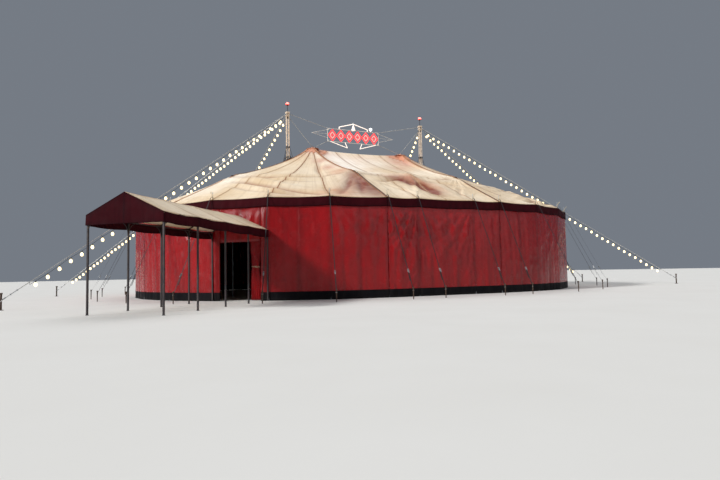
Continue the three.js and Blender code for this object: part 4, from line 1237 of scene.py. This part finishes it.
def peak_hoist(side):
    """The peak plate with its bolts, and the wire rope that lifts it."""
    rim, crown = [(0.35, -0.012), (0.365, -0.008), (0.365, 0.002)], [(0.2, 0.05), (0.1, 0.085), (0.05, 0.1)]
    low, high = rise(PEAK_Z + 0.1), Vector((side * (MAST_X - PEAK_X), 0, HOIST_Z))
    way = (low - high).normalized()
    stay = Vector((SIGN_X + side * (SIGN_HALF - PEAK_X), 0, SIGN_LOW - STAY_Z)).normalized()
    return stood([
        drawn_out([*rim, (0.34, 0.012), *crown, (0.03, 0.12)], ROSE_PAINT, 32, rise(PEAK_Z)),
        bolts([(0.014, 0), (0.014, 0.01), (0.01, 0.016)], 0.31, PEAK_Z + 0.016, range(15, 360, 30)),
        line([high + way * 0.22, low - way * 0.12], ROPE_R, CABLE),
        *sleeve(high + way * LUG, way),
        *sleeve(low - way * 0.02, -way),
        hoop(low + rise(0.03), 0.034, 0.008, STEEL, (0, 1, 0)),
        *lug_eye(rise(STAY_Z) - stay * 0.06, stay, 0.17),
    ], side * PEAK_X)


def beacon(side):
    """A red warning lamp on its stem, with a guard of four wires."""
    stem = [(0.06, 0), (0.06, 0.012), (0.03, 0.018), (0.016, 0.03), (0.016, 0.37)]
    dish = [(0.07, 0.38), (0.078, 0.39), (0.078, 0.41), (0.07, 0.415)]
    rim = [(0.076, 0), (0.094, 0.008), (0.098, 0.03), (0.09, 0.034)]
    glass = [(0.09, 0), (0.096, 0.03), (0.088, 0.075), (0.06, 0.112), (0.012, 0.13)]
    wire = [(0.077, 0.4), (0.104, 0.42), (0.104, 0.5), (0.09, 0.545), (0.05, 0.576), (0.004, 0.578)]
    return stood([
        drawn_out(stem + dish, DARK, 20, rise(MAST_TOP)),
        drawn_out(rim, RED_GLASS, 24, rise(MAST_TOP + 0.412)),
        drawn_out(glass, BEACON, 24, rise(MAST_TOP + 0.444)),
        *[line([on_circle(turn, r, MAST_TOP + h) for r, h in wire], 0.003, DARK, 6) for turn in CHORD_TURNS],
        hoop(rise(MAST_TOP + 0.5), 0.105, 0.003, DARK, sides=24),
    ], side * MAST_X)


for side, word in WORDS.items():
    settle(mast(side), f"lattice_mast_{word}", "mast_paint", f"mast_{word}")
    settle(beacon(side), f"warning_lamp_{word}", "lamp_red", f"beacon_{word}")
    settle(peak_hoist(side), f"peak_plate_{word}", "rope_steel", f"peak_hoist_{word}")
    for where in GUYS[word]:
        guy(side, where)


# Sign hung between the masts
def on_sign(x, z, y=0.0):
    return Vector((SIGN_X + x, y, z))


def tubes(side, points, radius, look, sides=12):
    """Tubes from point to point of the sign, on the side asked for."""
    places = [on_sign(side * x, z) for x, z in points]
    return [rod(start, end, radius, look, sides) for start, end in zip(places, places[1:])]


def sign_frame():
    """White tube frame with its crown, drops and wings, and the ropes that hold it."""
    crown = [(-0.93, SIGN_HIGH), (-0.93, SIGN_HIGH + 0.14), (0, SIGN_HIGH + 0.4)]
    parts = tubes(1, crown, 0.024, WHITE_TUBE) + tubes(-1, crown[::-1], 0.024, WHITE_TUBE)
    cone = [(0.13, 0), (0.12, 0.05), (0.03, 0.32), (0.012, 0.4)]
    knob = [(0.012, 0), (0.022, 0.02), (0.018, 0.045), (0.003, 0.09)]
    parts.append(drawn_out(cone, WHITE_TUBE, 6, on_sign(0, SIGN_HIGH)))
    parts.append(drawn_out(knob, WHITE, 12, on_sign(0, SIGN_HIGH + 0.405)))
    for z, corner in ((SIGN_LOW, SIGN_LOW + 0.05), (SIGN_HIGH, SIGN_HIGH - 0.05)):
        parts += tubes(1, [(-SIGN_HALF - 0.016, z), (SIGN_HALF + 0.016, z)], 0.016, WHITE)
        parts += [block(on_sign(s * (SIGN_HALF - 0.05), corner), (0.1, 0.006, 0.1), WHITE) for s in (-1, 1)]
    wing = [(SIGN_HALF, SIGN_HIGH - 0.08), (2.68, SIGN_HIGH - 0.34), (SIGN_HALF, SIGN_LOW + 0.2)]
    for s in (-1, 1):
        parts += tubes(s, [(SIGN_HALF, SIGN_LOW), (SIGN_HALF, SIGN_HIGH)], 0.016, WHITE)
        parts += tubes(s, [(1.5, SIGN_LOW), (0.41, SIGN_LOW - 0.32), (0.56, SIGN_LOW)], 0.019, WHITE_TUBE)
        parts += tubes(s, wing, 0.009, WHITE, 8)
        parts += tubes(s, [(SIGN_HALF, SIGN_HIGH - 0.33), (2.66, SIGN_HIGH - 0.34)], 0.006, WHITE, 8)
        for x, high, low, reach in ((MAST_X, LUG_Z, SIGN_HIGH, LUG), (PEAK_X, STAY_Z, SIGN_LOW, 0.11)):
            start, end = Vector((s * x, 0, high)), on_sign(s * (SIGN_HALF - 0.004), low + 0.002)
            way = (end - start).normalized()
            parts.append(line([start + way * (reach + 0.02), end - way * 0.08], ROPE_R, CABLE))
            parts += sleeve(start + way * reach, way) + sleeve(end - way * 0.01, -way)
    return join(parts)


def lit_diamond(x, share, look, y):
    """One closed run of lit tube in a diamond, with a little gap where its ends turn back."""
    reach, rise_by, middle = DIAMOND * share, 0.354 * share, (SIGN_LOW + SIGN_HIGH) / 2
    corners = [(-reach, 0), (0, rise_by), (reach, 0), (0, -rise_by), (-reach, 0)]
    points = []
    for (ax, az), (bx, bz) in zip(corners, corners[1:]):
        points += [on_sign(x + ax + (bx - ax) * t, middle + az + (bz - az) * t, y) for t in (0.06, 0.5, 0.94)]
    return line(points, 0.02 if share > 0.9 else 0.017, look, 8)


def sign_tubes():
    """Six diamonds with two smaller ones in each, on clips and an upright bar."""
    parts = []
    for x in (DIAMOND * (2 * n - 5) for n in range(6)):
        for kind in ((1.0, TUBE, 0.0), (0.56, PALE_TUBE, -0.004), (0.16, TUBE, -0.004)):
            parts.append(lit_diamond(x, *kind))
        for low, high, back, radius, look in (
            (SIGN_LOW + 0.01, SIGN_LOW + 0.05, 0.012, 0.008, DARK),
            (SIGN_HIGH - 0.05, SIGN_HIGH - 0.01, 0.012, 0.008, DARK),
            (SIGN_LOW + 0.01, SIGN_HIGH - 0.01, 0.016, 0.006, WHITE),
        ):
            parts.append(rod(on_sign(x, low, back), on_sign(x, high, back), radius, look, 8))
    return join(parts, 60)


def spotlight():
    """A small lamp can on a yoke, turned to the front of the tent."""
    seat = on_sign(1.11, SIGN_HIGH + 0.016)
    way = Vector((0, -0.17, -0.04)).normalized()
    back = seat + Vector((0, 0.06, 0.16))
    middle = back + way * 0.09
    can = [(0.045, 0), (0.076, 0.02), (0.082, 0.05), (0.088, 0.15), (0.096, 0.155), (0.096, 0.172)]
    lens = [(0.086, 0), (0.074, 0.012), (0.03, 0.02)]
    parts = [
        drawn_out(can, WHITE, 24, back, way),
        drawn_out(lens, BEAM, 24, back + way * 0.166, way),
        hoop(back + way * 0.12, 0.089, 0.004, WHITE, way, 24),
        block(seat + rise(0.006), (0.08, 0.05, 0.01), WHITE),
        *[hoop(back + way * t, 0.081, 0.003, WHITE, way, 20) for t in (0.02, 0.045, 0.07)],
    ]
    for out in (Vector((-1, 0, 0)), Vector((1, 0, 0))):
        parts.append(strut(seat + out * 0.04 + rise(0.01), middle + out * 0.1, 0.006, 0.02, WHITE))
        parts.append(rod(middle + out * 0.08, middle + out * 0.112, 0.008, DARK, 10))
    return join(parts)


settle(sign_frame(), "sign_tube_frame", "frame_white", "sign_frame")
settle(sign_tubes(), "sign_lit_tubes", "tube_red", "sign_tubes")
settle(spotlight(), "sign_lamp", "frame_white", "sign_spotlight")

# Entrance canopy, drawn with +X away from the wall and +Y sideways, then turned to the doorway
DOORWAY = moved((-PEAK_X - WALL_FACE * sin(DOOR_TURN), -WALL_FACE * cos(DOOR_TURN), 0))
DOORWAY = DOORWAY @ Matrix.Rotation(-pi / 2 - DOOR_TURN, 4, "Z")
HALF, GABLE = CANOPY_W / 2, CANOPY_RIDGE - CANOPY_EAVE
POST_Y = HALF - 0.038
STANDS = np.linspace(0.0404, CANOPY_END - 0.04, 5).tolist()
CURTAIN_X, CURTAIN_Y, CURTAIN_LOW, TIE_Z = POLE_R * BAY_FLAT - WALL_FACE, 0.67, 0.03, 1.35


def at_doorway(piece):
    piece.data.transform(DOORWAY)
    return piece


def canopy_roof():
    """Both slopes of the canopy in one sheet that sags between its rafters."""
    x, y = np.meshgrid(np.linspace(0.004, CANOPY_END, 121), np.linspace(-HALF, HALF, 61))
    part = ((x - STANDS[0]) / (STANDS[1] - STANDS[0])) % 1
    side = np.abs(y) / HALF
    between = np.sin(np.pi * np.clip(part, 0, 1)) * ((x > STANDS[0]) & (x < STANDS[-1]))
    fall = between * (0.012 + 0.03 * np.sin(np.pi * side))
    slack = 0.006 * np.sin(11 * x + 4 * y) * np.sin(np.pi * side)
    slack += 0.005 * np.sin(26 * x - 9 * side) * between * side
    z = CANOPY_EAVE + GABLE * (1 - side) - fall - slack
    seam = least(*[np.abs(x - s) + 0.002 for s in STANDS], np.abs(y), HALF - np.abs(y))
    return sheet((x, y, z), (x, y), seam, CREAM, CLOTH_THICK, 7.13)


def canopy_gable():
    """The front gable with its hem, a little blown out."""
    y, p = np.meshgrid(np.linspace(-HALF, HALF, 61), np.linspace(0, 1, 29))
    side = np.abs(y) / HALF
    low, top = CANOPY_EAVE - CANOPY_VALANCE, CANOPY_EAVE + GABLE * (1 - side)
    z = low + (top - low) * p
    free = (1 - p) ** 1.3 * (0.012 + 0.012 * np.sin(8.2 * y + 1) + 0.006 * np.sin(19 * y))
    x = CANOPY_END + 0.008 + 0.012 * np.sin(np.pi * p) * (1 - side) + free
    seam = np.maximum(least(np.abs(y), (top - z) * 0.9, z - low), 0)
    return sheet((x, y, z), (y, z), seam, SHADED_MAROON, CLOTH_THICK, CANOPY_W)


def canopy_side(side):
    """Posts, eave rail and knee braces of one side."""
    y, top, joint = side * POST_Y, CANOPY_EAVE - 0.04, 1.3
    parts = []
    for x in STANDS:
        parts += [
            strut((x, y, 0.006), (x, y, top), 0.05, 0.05, DARK),
            block((x, y, 0.004), (0.075, 0.075, 0.008), DARK),
            block((x, y, joint), (0.056, 0.056, 0.06), DARK),
            rod((x, y - 0.034, joint), (x, y + 0.034, joint), 0.006, STEEL, 8),
        ]
        for s in (-1, 1):
            if STANDS[0] <= x + s * 0.3 <= STANDS[-1]:
                knee = ((0.022, 0.4), (0.06, 0.24), (0.16, 0.11), (0.3, 0.05))
                parts.append(line([(x + s * out, y, top - down) for out, down in knee], 0.011, DARK))
    parts.append(strut((STANDS[0], y, top - 0.025), (STANDS[-1], y, top - 0.025), 0.04, 0.04, DARK))
    return join(parts)


def canopy_rafters():
    """Rafters, ridge beam, their corner plates and the tie bars."""
    lift = 0.012 * hypot(HALF, GABLE) / HALF
    slope = (GABLE - lift + 0.006) / (HALF - 0.012)
    ridge = CANOPY_RIDGE - lift - 0.0185 * hypot(1, slope)
    parts = []
    for x in STANDS:
        for s in (-1, 1):
            parts += [
                strut((x, s * POST_Y, ridge - slope * POST_Y), (x, 0, ridge), 0.03, 0.034, DARK),
                block((x, s * 0.06, ridge - 0.06), (0.036, 0.12, 0.09), DARK),
            ]
            ends = [(x + end, s * 0.09, ridge - 0.06) for end in (-0.022, 0.022)]
            parts.append(rod(*ends, 0.007, STEEL, 8))
        parts.append(rod((x, -0.55, ridge - slope * 0.55), (x, 0.55, ridge - slope * 0.55), 0.01, DARK, 8))
    parts.append(strut((0.012, 0, ridge - 0.017), (CANOPY_END - 0.01, 0, ridge - 0.017), 0.04, 0.046, DARK))
    return join(parts)


def door_curtain():
    """The doorway curtain, gathered in soft pleats and tied back once."""
    u, z = np.meshgrid(np.linspace(0, 1, 109), np.linspace(CURTAIN_LOW, RAIL_Z - 0.016, 40))
    tied = np.exp(-(((z - TIE_Z) / 0.45) ** 2))
    depth = (0.012 + 0.003 * np.sin(31 * u)) * (1 - 0.2 * tied)
    x = CURTAIN_X + depth * np.sin(18 * pi * u + 0.35 * np.sin(2 * z))
    y = CURTAIN_Y + (u - 0.5) * 0.42 * (1 - 0.22 * tied) + 0.006 * np.sin(5 * z + 9 * u)
    seam = least(u * 0.9, (1 - u) * 0.9, z - CURTAIN_LOW, RAIL_Z - 0.01 - z) + 0.004
    return sheet((x, y, z), (u * 1.1, z), seam, RED, CURTAIN_THICK, 4.0)


rests = ["awning_rafters"]
dress(at_doorway(canopy_roof()), "canopy_roof_cloth", "canvas_cream", ["awning_roof"], rests)
dress(at_doorway(canopy_gable()), "canopy_gable_cloth", "canvas_maroon", ["awning_gable"], rests)
for side, word in ((1, "left"), (-1, "right")):
    corners = [(x, side * HALF, CANOPY_EAVE) for x in (CANOPY_END, *STANDS[3:0:-1], 0.03)]
    strip = at_doorway(valance(corners[::side], CANOPY_VALANCE))
    dress(strip, f"canopy_valance_{word}", "canvas_maroon", [], ["canopy_roof_cloth"])
    settle(at_doorway(canopy_side(side)), f"canopy_posts_{word}", "pole_steel", f"awning_frame_{word}")
settle(at_doorway(canopy_rafters()), "canopy_rafter_set", "pole_steel", "awning_rafters")
curtain = at_doorway(door_curtain())
dress(curtain, "doorway_curtain", "canvas_red", ["door_curtain"], ["poles_left_front"])
turns = np.linspace(0, 13, 60)
tie = [(CURTAIN_X + 0.022 * cos(t), CURTAIN_Y + 0.172 * sin(t), TIE_Z + 0.004 * t) for t in turns]
settle(at_doorway(join([line(tie, CORD_R, CORD, 6)])), "curtain_tie", "canvas_red")

# Floor and light
bpy.ops.mesh.primitive_plane_add(size=400, location=(0, 0, -0.002))
floor = bpy.context.object
floor.name = "studio_floor"
# Plain matt board: a pale ground that lets the tent's colours stand out
floor.data.materials.append(worn("pale_floor", "#DAD8D3", 0.8, 0.0, "#CFCCC6", 0.4, -0.4))
world = bpy.data.worlds.new("studio")
world.use_nodes = True
sky = world.node_tree.nodes["Background"].inputs
sky["Color"].default_value, sky["Strength"].default_value = colour("#AEB7C4"), 0.42
bpy.context.scene.world = world
bpy.context.scene.view_settings.view_transform = "Standard"
# Each sun's strength and, in degrees, its softness, its height from straight down and its way round
for name, power, soft, tilt, round_by in (
    ("key_light", 3.4, 8, 62, -80),
    ("rim_light", 1.0, 40, 31, 151),
    ("fill_light", 0.6, 60, 61, 31),
):
    bpy.ops.object.light_add(type="SUN", rotation=(radians(tilt), 0, radians(round_by)))
    lamp = bpy.context.object
    lamp.name, lamp.data.energy, lamp.data.angle = name, power, radians(soft)
